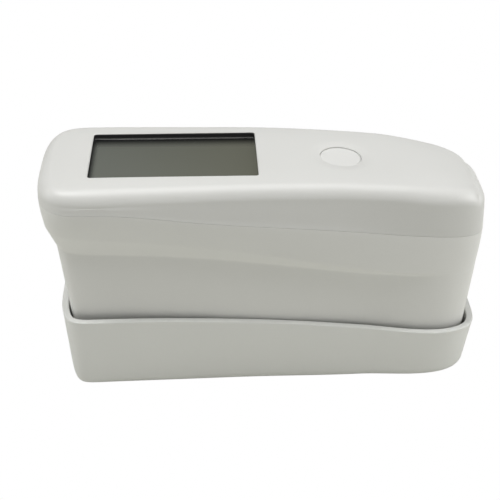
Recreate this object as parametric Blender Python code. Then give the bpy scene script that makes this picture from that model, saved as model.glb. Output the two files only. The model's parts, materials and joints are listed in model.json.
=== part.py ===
"""Handheld gloss meter standing in its calibration base, in metres.

X runs along the case, with the display end at -X and the nose at +X. Y runs across it and Z is up.
The origin is on the table, under the middle of the case. Each piece is its own closed solid.
"""

import math

import bmesh
import bpy
import numpy as np
from mathutils import Matrix, Vector

mm = 0.001

# Clearances between pieces that seat on each other, and round pieces that slide
SEAT_GAP = 0.3 * mm
SLIDE_GAP = 0.35 * mm

# Case, seen from above
CASE_LENGTH = 154.6 * mm
CASE_HALF_WIDTH = 27.5 * mm
WIDEST_FROM_TAIL = 20.6 * mm
NOSE_NARROWING = 2.8 * mm
NOSE_FULLNESS = 4.5
TAIL_FULLNESS = 3.4
SIDE_STEP = 10.0 * mm
TURN_STEP = math.radians(10.5)

# Case, seen from the side: heights are above its underside
CASE_EDGE_HEIGHT = 73.9 * mm
TOP_ARCH = 1.6 * mm
TOP_FALL = 9.5 * mm
TOP_FALL_LEAD = 7.2 * mm
TOP_FALL_TO_NOSE = 5.0 * mm
TOP_EDGE_RADIUS = 4.5 * mm

# Lines along the case: how far along from the tail, as a share of its length, and the height there
PARTING_LINE = ((0.0, 67.3 * mm), (0.37, 62.9 * mm), (0.688, 57.6 * mm), (1.0, 49.9 * mm))
FACET_LINE = (
    (0.065, 56.8 * mm),
    (0.272, 54.4 * mm),
    (0.499, 49.1 * mm),
    (0.725, 41.7 * mm),
    (0.919, 37.7 * mm),
)
FACET_TALL = 8.4 * mm
FACET_SHORT = 1.4 * mm
FACET_SIDE_DEPTH = 3.9 * mm
FACET_END_DEPTH = 3.5 * mm
FACET_FADE = (0.725, 0.932)
WAIST_AT_TAIL = 2.5 * mm
WAIST_AT_NOSE = 1.1 * mm
WAIST_FADE = (0.133, 0.723)

# Drafts of the walls: how far they lean in for each unit of height, away from the parting line
COVER_SIDE_LEAN = 0.01
COVER_TAIL_LEAN = 0.034
COVER_NOSE_LEAN = 0.05
HOUSING_SIDE_LEAN = 0.04
HOUSING_TAIL_LEAN = 0.109
HOUSING_NOSE_LEAN = 0.088
CASE_FOOT_RADIUS = 0.8 * mm

# Case walls
CASE_WALL = 2.2 * mm
CASE_FLOOR = 3.2 * mm
LIP_HEIGHT = 1.5 * mm

# Calibration base
BASE_FLOOR = 3.0 * mm
BASE_WALL = 2.0 * mm
BASE_SIDE_PLAY = ((0.0, 2.8 * mm), (0.3, 1.6 * mm), (0.5, 0.9 * mm), (0.7, 1.4 * mm), (1.0, 2.0 * mm))
BASE_TAIL_PLAY = 0.9 * mm
BASE_NOSE_PLAY = 1.6 * mm
RIM_LINE = (
    (0.0, 29.6 * mm),
    (0.24, 29.3 * mm),
    (0.435, 27.8 * mm),
    (0.63, 25.5 * mm),
    (0.824, 22.0 * mm),
    (1.0, 19.9 * mm),
)
BASE_SIDE_DRAFT = 0.06
BASE_TAIL_DRAFT = 0.079
BASE_NOSE_DRAFT = 0.17
BASE_FOOT_RADIUS = 4.0 * mm
RIM_ROUND = 0.5 * mm
REST_RIB_HEIGHT = 4.4 * mm
REST_RIB_LENGTH = 12.0 * mm
REST_RIB_WIDTH = 2.4 * mm
REST_RIB_FROM_TAIL = 39.3 * mm
REST_RIB_FROM_NOSE = 31.3 * mm
REST_RIB_ACROSS = 26.0 * mm
TILE_LENGTH = 46.0 * mm
TILE_WIDTH = 22.0 * mm
TILE_THICKNESS = 4.5 * mm
PAD_THICKNESS = 1.0 * mm
TILE_RECESS = 1.6 * mm
TILE_FRAME_WALL = 1.6 * mm
TILE_FRAME_HEIGHT = 2.4 * mm
TILE_FRAME_CORNER = 1.5 * mm
TILE_CORNER = 0.8 * mm
PAD_MARGIN = 1.0 * mm

# Display
DISPLAY_FROM_TAIL = 17.3 * mm
DISPLAY_LENGTH = 57.0 * mm
DISPLAY_FROM_SIDE = 11.1 * mm
DISPLAY_CORNER = 1.0 * mm
DISPLAY_LIP = 0.7 * mm
WINDOW_THICKNESS = 1.3 * mm
WINDOW_BORDER = 1.8 * mm
DISPLAY_WELL = 3.0 * mm
WELL_SET_BACK = 0.4 * mm
WELL_TAIL_LEDGE = 1.2 * mm
LCD_THICKNESS = 2.2 * mm
LCD_MARGIN = 0.5 * mm
BACKLIGHT_THICKNESS = 2.6 * mm
LCD_FRAME_WALL = 1.5 * mm
LCD_FRAME_CORNER = 1.2 * mm
STRIP_WIDTH = 2.0 * mm
STRIP_END_MARGIN = 3.0 * mm
STRIP_MARGIN = 0.2 * mm
STRIP_TO_LIGHT = 0.8 * mm

# Main board
BOARD_THICKNESS = 1.6 * mm
BOARD_TAB_WIDTH = 19.0 * mm
BOARD_TAB_PAST_BUTTON = 9.1 * mm
BOARD_END_MARGIN = 0.8 * mm
BOARD_SIDE_ROOM = 2.3 * mm
BOARD_CORNER = 1.0 * mm
PROCESSOR_SIZE = 12.0 * mm
PROCESSOR_THICKNESS = 1.6 * mm

# Push button and its switch
BUTTON_FROM_DISPLAY = 29.7 * mm
BUTTON_RADIUS = 7.1 * mm
BUTTON_TRAVEL = 0.5 * mm
BUTTON_CAP_EDGE = 0.4 * mm
BUTTON_CAP_RISE = 0.25 * mm
BUTTON_CAP_CROWN = 0.07 * mm
BUTTON_FLANGE = 1.1 * mm
BUTTON_FLANGE_THICKNESS = 0.8 * mm
BUTTON_FLANGE_DROP = 0.2 * mm
BUTTON_SLOPE_STEP = 2.0 * mm
BUTTON_WELL_ROOM = 4.0 * mm
DISH_RADIUS = 10.2 * mm
DISH_DEPTH = 1.1 * mm
SWITCH_SIZE = 6.0 * mm
SWITCH_HEIGHT = 3.6 * mm
PLUNGER_RADIUS = 1.6 * mm

# Measuring optics: two tubes at 60 degrees from the vertical meet at the aperture
TUBE_ANGLE = math.radians(60)
APERTURE_FROM_DISPLAY = 7.0 * mm
APERTURE_LENGTH = 24.0 * mm
APERTURE_WIDTH = 10.0 * mm
TUBE_LENGTH = 36.0 * mm
TUBE_OUTER_RADIUS = 7.2 * mm
TUBE_BORE_RADIUS = 4.0 * mm
LENS_SEAT = 20.0 * mm
LENS_RADIUS = 5.4 * mm
LENS_THICKNESS = 2.7 * mm
LENS_EDGE = 1.2 * mm
SPACER_LENGTH = 5.0 * mm
SPACER_WALL = 0.9 * mm
STOP_THICKNESS = 1.0 * mm
STOP_HOLE_RADIUS = 1.2 * mm
BLOCK_WIDTH = 15.6 * mm
BLOCK_VALLEY_HEIGHT = 14.0 * mm
BLOCK_EAR_LENGTH = 9.0 * mm
BLOCK_EAR_TO_WALL = 0.4 * mm
BLOCK_EAR_THICKNESS = 4.0 * mm
BLOCK_EAR_HEIGHT = 6.3 * mm
BLOCK_EAR_CORNER = 2.0 * mm
BLOCK_SCREW_DEPTH = 3.8 * mm
EMITTER_RADIUS = 2.9 * mm
EMITTER_LENGTH = 5.4 * mm
EMITTER_DOME = 1.74 * mm
SENSOR_BOARD_SIZE = 12.0 * mm
SENSOR_BOARD_THICKNESS = 1.6 * mm

# Underside plate
PLATE_FROM_TAIL = 35.3 * mm
PLATE_FROM_NOSE = 27.3 * mm
PLATE_WIDTH = 28.0 * mm
PLATE_THICKNESS = 1.5 * mm
PLATE_CORNER = 3.0 * mm
FLOOR_WINDOW_MARGIN = 1.0 * mm
FLOOR_WINDOW_CORNER = 2.0 * mm

# Battery bay, a single AA cell behind a sliding cover in the far wall
BATTERY_RADIUS = 7.1 * mm
BATTERY_LENGTH = 49.2 * mm
BATTERY_NIPPLE_RADIUS = 2.7 * mm
BATTERY_NIPPLE = 1.3 * mm
BATTERY_CRIMP = 0.8 * mm
BATTERY_FROM_TAIL = 43.3 * mm
TRAY_WALL = 1.4 * mm
TRAY_CLEARANCE = 0.6 * mm
SPRING_LENGTH = 4.6 * mm
SPRING_WIRE = 0.35 * mm
SPRING_WIDE_RADIUS = 4.2 * mm
SPRING_NARROW_RADIUS = 2.6 * mm
SPRING_TURNS = 4
CONTACT_THICKNESS = 0.5 * mm
CONTACT_SIZE = 10.0 * mm
BATTERY_COVER_LENGTH = 58.0 * mm
BATTERY_COVER_THICKNESS = 1.6 * mm
BATTERY_COVER_TRAVEL = 6.0 * mm
COVER_LEDGE = 1.4 * mm
BAY_PAD_DEPTH = 1.8 * mm
BAY_PAD_MARGIN = 2.0 * mm
BAY_PAD_SET_BACK = 0.6 * mm
GRIP_RIBS = 5
GRIP_FROM_END = 5.0 * mm
GRIP_RIB_PITCH = 2.2 * mm
GRIP_RIB_RADIUS = 0.5 * mm

# Fasteners
SCREW_RADIUS = 1.1 * mm
SCREW_HEAD_RADIUS = 2.0 * mm
SCREW_HEAD_HEIGHT = 1.4 * mm
SCREW_GRIP = 5.0 * mm
POST_RADIUS = 3.3 * mm
POST_SEAT = 2.4 * mm
MIDDLE_SCREW_FROM_APERTURE = 12.0 * mm
MIDDLE_POST_ROOM = 3.4 * mm
NOSE_SCREW_FROM_NOSE = 25.3 * mm
NOSE_POST_ROOM = 1.4 * mm
BOARD_BOSS_RADIUS = 2.4 * mm
BOARD_SCREW_GRIP = 4.0 * mm
BOARD_SCREW_INSET = 2.6 * mm
BOARD_SCREW_FROM_DISPLAY = 7.8 * mm

# How far a cutter runs past the face that it opens
OVERRUN = 1.0 * mm

# Levels that follow from the sizes above
CASE_BOTTOM = BASE_FLOOR + REST_RIB_HEIGHT + SEAT_GAP
CASE_TAIL = -CASE_LENGTH / 2
CASE_NOSE = CASE_LENGTH / 2
WIDEST_X = CASE_TAIL + WIDEST_FROM_TAIL
DISPLAY_START = CASE_TAIL + DISPLAY_FROM_TAIL
DISPLAY_END = DISPLAY_START + DISPLAY_LENGTH
DISPLAY_X = (DISPLAY_START + DISPLAY_END) / 2
DISPLAY_WIDTH = 2 * (CASE_HALF_WIDTH - DISPLAY_FROM_SIDE)
TOP_FALL_START = DISPLAY_END - TOP_FALL_LEAD
BUTTON_X = DISPLAY_END + BUTTON_FROM_DISPLAY
APERTURE_X = DISPLAY_END + APERTURE_FROM_DISPLAY
BATTERY_CENTRE_X = CASE_TAIL + BATTERY_FROM_TAIL
PLATE_LENGTH = CASE_LENGTH - PLATE_FROM_TAIL - PLATE_FROM_NOSE
PLATE_X = CASE_TAIL + PLATE_FROM_TAIL + PLATE_LENGTH / 2
LIP_SPLIT = CASE_WALL / 2

# Material values: colour, roughness, metallic
WARM_WHITE = ((0.76, 0.76, 0.73), 0.45, 0.0)
BASE_WHITE = ((0.74, 0.75, 0.72), 0.42, 0.0)
BUTTON_WHITE = ((0.78, 0.78, 0.75), 0.4, 0.0)
DARK_GLASS = ((0.10, 0.11, 0.10), 0.08, 0.0)
LCD_GREY = ((0.22, 0.23, 0.20), 0.25, 0.0)
PALE_PLASTIC = ((0.85, 0.85, 0.83), 0.5, 0.0)
BLACK_PLASTIC = ((0.03, 0.03, 0.03), 0.5, 0.0)
BLACK_GLASS = ((0.01, 0.01, 0.012), 0.03, 0.0)
BOARD_GREEN = ((0.04, 0.22, 0.09), 0.45, 0.0)
RUBBER_GREY = ((0.18, 0.18, 0.19), 0.8, 0.0)
FOAM_GREY = ((0.25, 0.25, 0.26), 0.95, 0.0)
ANODISED_BLACK = ((0.05, 0.05, 0.055), 0.4, 0.8)
BRIGHT_STEEL = ((0.68, 0.68, 0.69), 0.25, 1.0)
CLEAR_GLASS = ((0.80, 0.84, 0.85), 0.04, 0.0)
CELL_SLEEVE = ((0.30, 0.33, 0.36), 0.35, 0.2)


def clear_scene():
    for old in list(bpy.data.objects):
        bpy.data.objects.remove(old, do_unlink=True)


def finish_material(name, finish):
    colour, roughness, metallic = finish
    material = bpy.data.materials.new(name)
    material.use_nodes = True
    shader = material.node_tree.nodes["Principled BSDF"]
    shader.inputs["Base Color"].default_value = (*colour, 1.0)
    shader.inputs["Roughness"].default_value = roughness
    shader.inputs["Metallic"].default_value = metallic
    return material


def place(name, mesh, finish=None, matrix=None):
    """Puts a mesh in the scene under the given name, smooth but for its sharp edges."""
    mesh.shade_smooth()
    mesh.set_sharp_from_angle(angle=math.radians(32))
    piece = bpy.data.objects.new(name, mesh)
    bpy.context.scene.collection.objects.link(piece)
    if finish:
        mesh.materials.append(finish_material(name, finish))
    if matrix is not None:
        piece.matrix_world = matrix
    return piece


def helper(name, mesh, matrix=None):
    """A cutter, or a feature that is joined to another piece."""
    piece = place(name, mesh, matrix=matrix)
    piece.hide_render = True
    piece.display_type = "WIRE"
    return piece


def combine(target, operation, other):
    modifier = target.modifiers.new(other.name, "BOOLEAN")
    modifier.operation = operation
    modifier.solver = "EXACT"
    modifier.object = other


def cut(target, cutter):
    combine(target, "DIFFERENCE", cutter)


def join(target, feature):
    combine(target, "UNION", feature)


def mesh_from(name, points, faces):
    mesh = bpy.data.meshes.new(name)
    mesh.from_pydata([tuple(point) for point in points], [], faces)
    mesh.update()
    return mesh


def box_mesh(name, size, centre=(0, 0, 0), bevel=0.0):
    """A box with its middle at centre. The bevel rounds its upright edges."""
    bm = bmesh.new()
    bmesh.ops.create_cube(bm, size=1.0)
    bmesh.ops.scale(bm, vec=size, verts=bm.verts)
    if bevel:
        upright = [edge for edge in bm.edges if abs(edge.verts[0].co.z - edge.verts[1].co.z) > size[2] / 2]
        bmesh.ops.bevel(bm, geom=upright, offset=bevel, segments=4, affect="EDGES", profile=0.5)
    bmesh.ops.translate(bm, vec=centre, verts=bm.verts)
    mesh = bpy.data.meshes.new(name)
    bm.to_mesh(mesh)
    bm.free()
    return mesh


def turned_mesh(name, profile, segments):
    """A turned solid about Z. The profile runs up the outer side, from the lower axis point to the upper one,
    and one with no point on the axis closes on itself as a ring."""
    points = []
    rows = []
    for radius, height in profile:
        if radius == 0:
            rows.append([len(points)] * segments)
            points.append((0, 0, height))
            continue
        rows.append(range(len(points), len(points) + segments))
        for step in range(segments):
            angle = 2 * math.pi * step / segments
            points.append((radius * math.cos(angle), radius * math.sin(angle), height))
    ring = profile[0][0] > 0
    pairs = list(zip(rows, rows[1:])) + ([(rows[-1], rows[0])] if ring else [])
    faces = []
    for lower, upper in pairs:
        for step in range(segments):
            following = (step + 1) % segments
            corners = [lower[step], lower[following], upper[following], upper[step]]
            faces.append(list(dict.fromkeys(corners)))
    return mesh_from(name, points, faces)


def cylinder_mesh(name, radius, low, high, segments):
    """A plain cylinder about Z between two heights."""
    return turned_mesh(name, [(0, low), (radius, low), (radius, high), (0, high)], segments)


def extruded_mesh(name, outline, width):
    """An outline of (x, z) points, anticlockwise seen from -Y, extruded across Y about the centre plane."""
    count = len(outline)
    points = [(x, -width / 2, z) for x, z in outline] + [(x, width / 2, z) for x, z in outline]
    faces = [list(range(count)), list(range(2 * count - 1, count - 1, -1))]
    for step in range(count):
        following = (step + 1) % count
        faces.append([following, step, step + count, following + count])
    return mesh_from(name, points, faces)


def smooth_curve(stations, x):
    """Values of a smooth curve through the stations, which runs straight on past its ends."""
    places, values = np.array(stations).T
    slopes = np.gradient(values, places)
    inside = np.clip(x, places[0], places[-1])
    spot = np.clip(np.searchsorted(places, inside) - 1, 0, len(places) - 2)
    width = places[spot + 1] - places[spot]
    t = (inside - places[spot]) / width
    start = (1 + 2 * t) * (1 - t) ** 2 * values[spot] + t * (1 - t) ** 2 * width * slopes[spot]
    end = t**2 * (3 - 2 * t) * values[spot + 1] - t**2 * (1 - t) * width * slopes[spot + 1]
    return start + end + (x - inside) * np.where(x < places[0], slopes[0], slopes[-1])


def case_outline():
    """Points of the case's widest outline from above and its outward directions, anticlockwise from the nose.

    Each half is part of a rounded rectangle whose corners follow a superellipse. Points are spread by
    length along the sides and by turn round the corners.
    """
    angle = np.linspace(0, math.pi, 2001)
    cosine = np.cos(angle)
    reach = np.where(cosine > 0, CASE_NOSE - WIDEST_X, WIDEST_X - CASE_TAIL)
    fullness = np.where(cosine > 0, NOSE_FULLNESS, TAIL_FULLNESS)
    x = WIDEST_X + reach * np.sign(cosine) * np.abs(cosine) ** (2 / fullness)
    narrowing = NOSE_NARROWING * (x - WIDEST_X) / (CASE_NOSE - WIDEST_X)
    y = (CASE_HALF_WIDTH - narrowing) * np.abs(np.sin(angle)) ** (2 / fullness)
    y[-1] = 0
    steps = np.hypot(np.diff(x), np.diff(y))
    heading = np.unwrap(np.arctan2(np.diff(y), np.diff(x)))
    turn = np.abs(np.append(np.diff(heading), 0))
    measure = np.concatenate([[0], np.cumsum(steps / SIDE_STEP + turn / TURN_STEP)])
    half = int(round(measure[-1]))
    spots = np.linspace(0, measure[-1], half + 1)
    near_x = np.interp(spots, measure, x)
    near_y = np.interp(spots, measure, y)
    points = np.concatenate(
        [np.stack([near_x, near_y], 1), np.stack([near_x[-2:0:-1], -near_y[-2:0:-1]], 1)]
    )
    along = np.roll(points, -1, 0) - np.roll(points, 1, 0)
    along /= np.linalg.norm(along, axis=1)[:, None]
    return points, np.stack([along[:, 1], -along[:, 0]], 1)


PLAN, OUTWARD = case_outline()
PLAN_X = PLAN[:, 0]
SPANS = np.linalg.norm(np.roll(PLAN, -1, 0) - PLAN, axis=1)
TURNS = np.linalg.norm(np.roll(OUTWARD, -1, 0) - OUTWARD, axis=1)
CORNER_ROOM = 0.98 * np.minimum(SPANS / TURNS, np.roll(SPANS / TURNS, 1))


def ring(outset, height):
    """One closed loop: the plan outline moved out by the outset, at the given height.

    An inset goes no further than the outline's own radius there, where the loop would cross itself.
    """
    level = np.broadcast_to(height, PLAN_X.shape)
    flat = PLAN + OUTWARD * np.maximum(outset, -CORNER_ROOM)[:, None]
    return np.column_stack([flat, level])


def at(x, y):
    return Matrix.Translation((x, y, 0))


def by_side(side, tail, nose):
    """A value round the outline that goes from its side value to its end values as the wall turns."""
    end = np.where(OUTWARD[:, 0] < 0, tail, nose)
    return side * OUTWARD[:, 1] ** 2 + end * OUTWARD[:, 0] ** 2


def top_height(x, y):
    """Height of the top skin: flat over the display, falling to the nose, slightly arched across."""
    run = np.clip((x - TOP_FALL_START) / (CASE_NOSE - TOP_FALL_TO_NOSE - TOP_FALL_START), 0, 0.999)
    fall = TOP_FALL * (1 - np.sqrt(1 - run**2))
    arch = TOP_ARCH * (1 - np.abs(y / CASE_HALF_WIDTH) ** 4) * (1 - np.abs(x / CASE_NOSE) ** 8)
    return CASE_BOTTOM + CASE_EDGE_HEIGHT - fall + arch


def fade(stretch):
    """Goes from 1 to 0 over a stretch of the case's length."""
    start, end = stretch
    return np.clip((end - ALONG) / (end - start), 0, 1)


ALONG = (PLAN_X - CASE_TAIL) / CASE_LENGTH
PARTING = CASE_BOTTOM + smooth_curve(PARTING_LINE, ALONG)
FACET_TOP = CASE_BOTTOM + smooth_curve(FACET_LINE, ALONG)
FACET_FOOT = FACET_TOP - (FACET_SHORT + (FACET_TALL - FACET_SHORT) * np.clip(1 - ALONG, 0, 1) ** 0.6)
WAIST = WAIST_AT_NOSE + (WAIST_AT_TAIL - WAIST_AT_NOSE) * fade(WAIST_FADE) * OUTWARD[:, 1] ** 2
FACET = by_side(FACET_SIDE_DEPTH, FACET_END_DEPTH, FACET_END_DEPTH) * fade(FACET_FADE)
HOUSING_LEAN = by_side(HOUSING_SIDE_LEAN, HOUSING_TAIL_LEAN, HOUSING_NOSE_LEAN)


def housing_inset(height):
    """How far the plain wall under the facet lies inside the plan outline."""
    return WAIST + FACET + HOUSING_LEAN * (FACET_FOOT - height)


def parting_height(x):
    """Height of the parting line on the far side at one place along the case."""
    far = slice(0, len(PLAN) // 2 + 1)
    return float(np.interp(x, PLAN_X[far][::-1], PARTING[far][::-1]))


def side_wall_y(x, height):
    """Half width of the plain wall under the facet at one place along the case."""
    far = ring(-housing_inset(height), height)[: len(PLAN) // 2]
    order = np.argsort(far[:, 0])
    return float(np.interp(x, far[order, 0], far[order, 1]))


def cover_skin(depth, foot, turns):
    """Loops of the top cover's skin at this depth, from its foot up to where the top begins.

    The turns are the angles, from the wall to the top, at which the rounded edge has its loops.
    """
    lean = by_side(COVER_SIDE_LEAN, COVER_TAIL_LEAN, COVER_NOSE_LEAN)
    radius = TOP_EDGE_RADIUS - depth
    inset = np.zeros(len(PLAN))
    for _ in range(4):
        edge = ring(-(inset + TOP_EDGE_RADIUS), 0)
        bend = top_height(edge[:, 0], edge[:, 1]) - TOP_EDGE_RADIUS
        inset = lean * (bend - PARTING)
    loops = [ring(-depth - lean * (foot - PARTING), foot)]
    for angle in np.radians(turns):
        loop = ring(-(inset + depth + radius * (1 - math.cos(angle))), 0)
        loop[:, 2] = top_height(loop[:, 0], loop[:, 1]) - depth - radius * (1 - math.sin(angle))
        loops.append(loop)
    return loops


def housing_skin(depth, foot, wall_shares, waist_shares):
    """Loops of the lower housing's skin at this depth, from its foot up to the parting line.

    The shares are how far up the plain wall, and how far up the waist, the loops lie.
    """
    loops = []
    for share in wall_shares:
        height = foot + (FACET_FOOT - foot) * share
        loops.append(ring(-depth - housing_inset(height), height))
    loops.append(ring(-depth - WAIST, FACET_TOP))
    for share in waist_shares:
        height = FACET_TOP + (PARTING - FACET_TOP) * share
        loops.append(ring(-depth - WAIST * (1 - share) ** 1.5, height))
    return loops


def capped_mesh(name, loops, crown_last=1):
    """A skin through the loops, closed at both ends by strips across Y.

    The last cap may be crowned: each strip is then split across Y and follows the top height.
    """
    count = len(PLAN)
    points = [tuple(point) for loop in loops for point in loop]
    faces = []
    for level in range(len(loops) - 1):
        for step in range(count):
            following = (step + 1) % count
            low, high = level * count, (level + 1) * count
            faces.append([low + step, low + following, high + following, high + step])

    def strips(start, splits):
        rows = {}
        for step in range(1, count // 2):
            here, there = start + step, start + count - step
            row = [here]
            for split in range(1, splits):
                share = split / splits
                spot = Vector(points[here]).lerp(Vector(points[there]), share)
                skin = top_height(spot.x, spot.y) - top_height(*points[here][:2])
                row.append(len(points))
                points.append((spot.x, spot.y, points[here][2] + skin))
            rows[step] = row + [there]
        rows[0] = [start]
        rows[count // 2] = [start + count // 2]
        found = []
        for step in range(count // 2):
            first, second = rows[step], rows[step + 1]
            for split in range(splits):
                corners = [
                    first[min(split, len(first) - 1)],
                    second[min(split, len(second) - 1)],
                    second[min(split + 1, len(second) - 1)],
                    first[min(split + 1, len(first) - 1)],
                ]
                found.append(list(dict.fromkeys(corners)))
        return found

    faces += [face[::-1] for face in strips(0, 1)]
    faces += strips((len(loops) - 1) * count, crown_last)
    return mesh_from(name, points, faces)


def top_cover():
    """Upper shell: arched skin, display opening, finger dish, button hole and two pairs of bosses."""
    lip_top = PARTING + LIP_HEIGHT + SEAT_GAP
    edge = PARTING + SEAT_GAP / 2
    inner = cover_skin(CASE_WALL, lip_top, (0, 45, 90))[::-1]
    step_loops = [ring(-LIP_SPLIT, lip_top), ring(-LIP_SPLIT, edge)]
    outer = cover_skin(0, edge, (0, 20, 40, 60, 80, 90))
    shell = capped_mesh("top_cover", inner + step_loops + outer, crown_last=8)
    cover = place("top_cover", shell, WARM_WHITE)
    screw_hole = SCREW_RADIUS + SEAT_GAP
    for number, (x, y) in enumerate(CASE_SCREWS, 1):
        foot = parting_height(x) + SEAT_GAP
        head = float(top_height(x, y)) - CASE_WALL / 2
        boss = cylinder_mesh("case_boss", POST_RADIUS, foot, head, 16)
        join(cover, helper(f"case_boss_{number}", boss, at(x, y)))
        hole = cylinder_mesh("case_boss_hole", screw_hole, foot - OVERRUN, foot + SCREW_GRIP, 12)
        cut(cover, helper(f"case_boss_hole_{number}", hole, at(x, y)))
    for number, (x, y) in enumerate(BOARD_SCREWS, 1):
        foot = BOARD_TOP + SEAT_GAP
        head = float(top_height(x, y)) - CASE_WALL / 2
        boss = cylinder_mesh("board_boss", BOARD_BOSS_RADIUS, foot, head, 12)
        join(cover, helper(f"board_boss_{number}", boss, at(x, y)))
        hole_top = foot + BOARD_SCREW_GRIP + SEAT_GAP
        hole = cylinder_mesh("board_boss_hole", screw_hole, foot - OVERRUN, hole_top, 10)
        cut(cover, helper(f"board_boss_hole_{number}", hole, at(x, y)))

    reach = 2 * (TOP_ARCH + TOP_EDGE_RADIUS + CASE_WALL + LCD_FRAME_ROOM)
    opening_size = (DISPLAY_LENGTH, DISPLAY_WIDTH, reach)
    opening = box_mesh("opening", opening_size, (DISPLAY_X, 0, TOP_Z), DISPLAY_CORNER)
    cut(cover, helper("display_opening", opening))
    pocket_size = (WINDOW_LENGTH + 2 * SEAT_GAP, WINDOW_WIDTH + 2 * SEAT_GAP, LCD_FRAME_ROOM)
    pocket_z = WINDOW_TOP + SEAT_GAP - pocket_size[2] / 2
    pocket = box_mesh("pocket", pocket_size, (DISPLAY_X, 0, pocket_z), DISPLAY_CORNER)
    cut(cover, helper("window_pocket", pocket))
    nest_size = (LCD_FRAME_LENGTH + 2 * SEAT_GAP, LCD_FRAME_WIDTH + 2 * SEAT_GAP, LCD_FRAME_ROOM)
    nest_z = WINDOW_TOP - WINDOW_THICKNESS - nest_size[2] / 2
    nest = box_mesh("nest", nest_size, (DISPLAY_X, 0, nest_z), DISPLAY_CORNER)
    cut(cover, helper("lcd_frame_nest", nest))

    well_roof = -CASE_WALL - BUTTON_FLANGE_DROP
    well_foot = -BUTTON_UNDERSIDE - BUTTON_TRAVEL - BUTTON_WELL_ROOM
    well = cylinder_mesh("well", BUTTON_RADIUS + BUTTON_FLANGE + SLIDE_GAP, well_foot, well_roof, 40)
    cut(cover, helper("button_well", well, BUTTON_FRAME))
    sphere_radius = (DISH_RADIUS**2 + DISH_DEPTH**2) / (2 * DISH_DEPTH)
    profile = []
    for radius in np.linspace(0, DISH_RADIUS, 6):
        profile.append((radius, sphere_radius - math.sqrt(sphere_radius**2 - radius**2) - DISH_DEPTH))
    profile += [(DISH_RADIUS * 1.15, 2 * OVERRUN), (0, 2 * OVERRUN)]
    cut(cover, helper("finger_dish", turned_mesh("finger_dish", profile, 40), BUTTON_FRAME))
    hole = cylinder_mesh("hole", BUTTON_RADIUS + SLIDE_GAP, well_foot, 3 * OVERRUN, 40)
    cut(cover, helper("button_hole", hole, BUTTON_FRAME))


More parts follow.
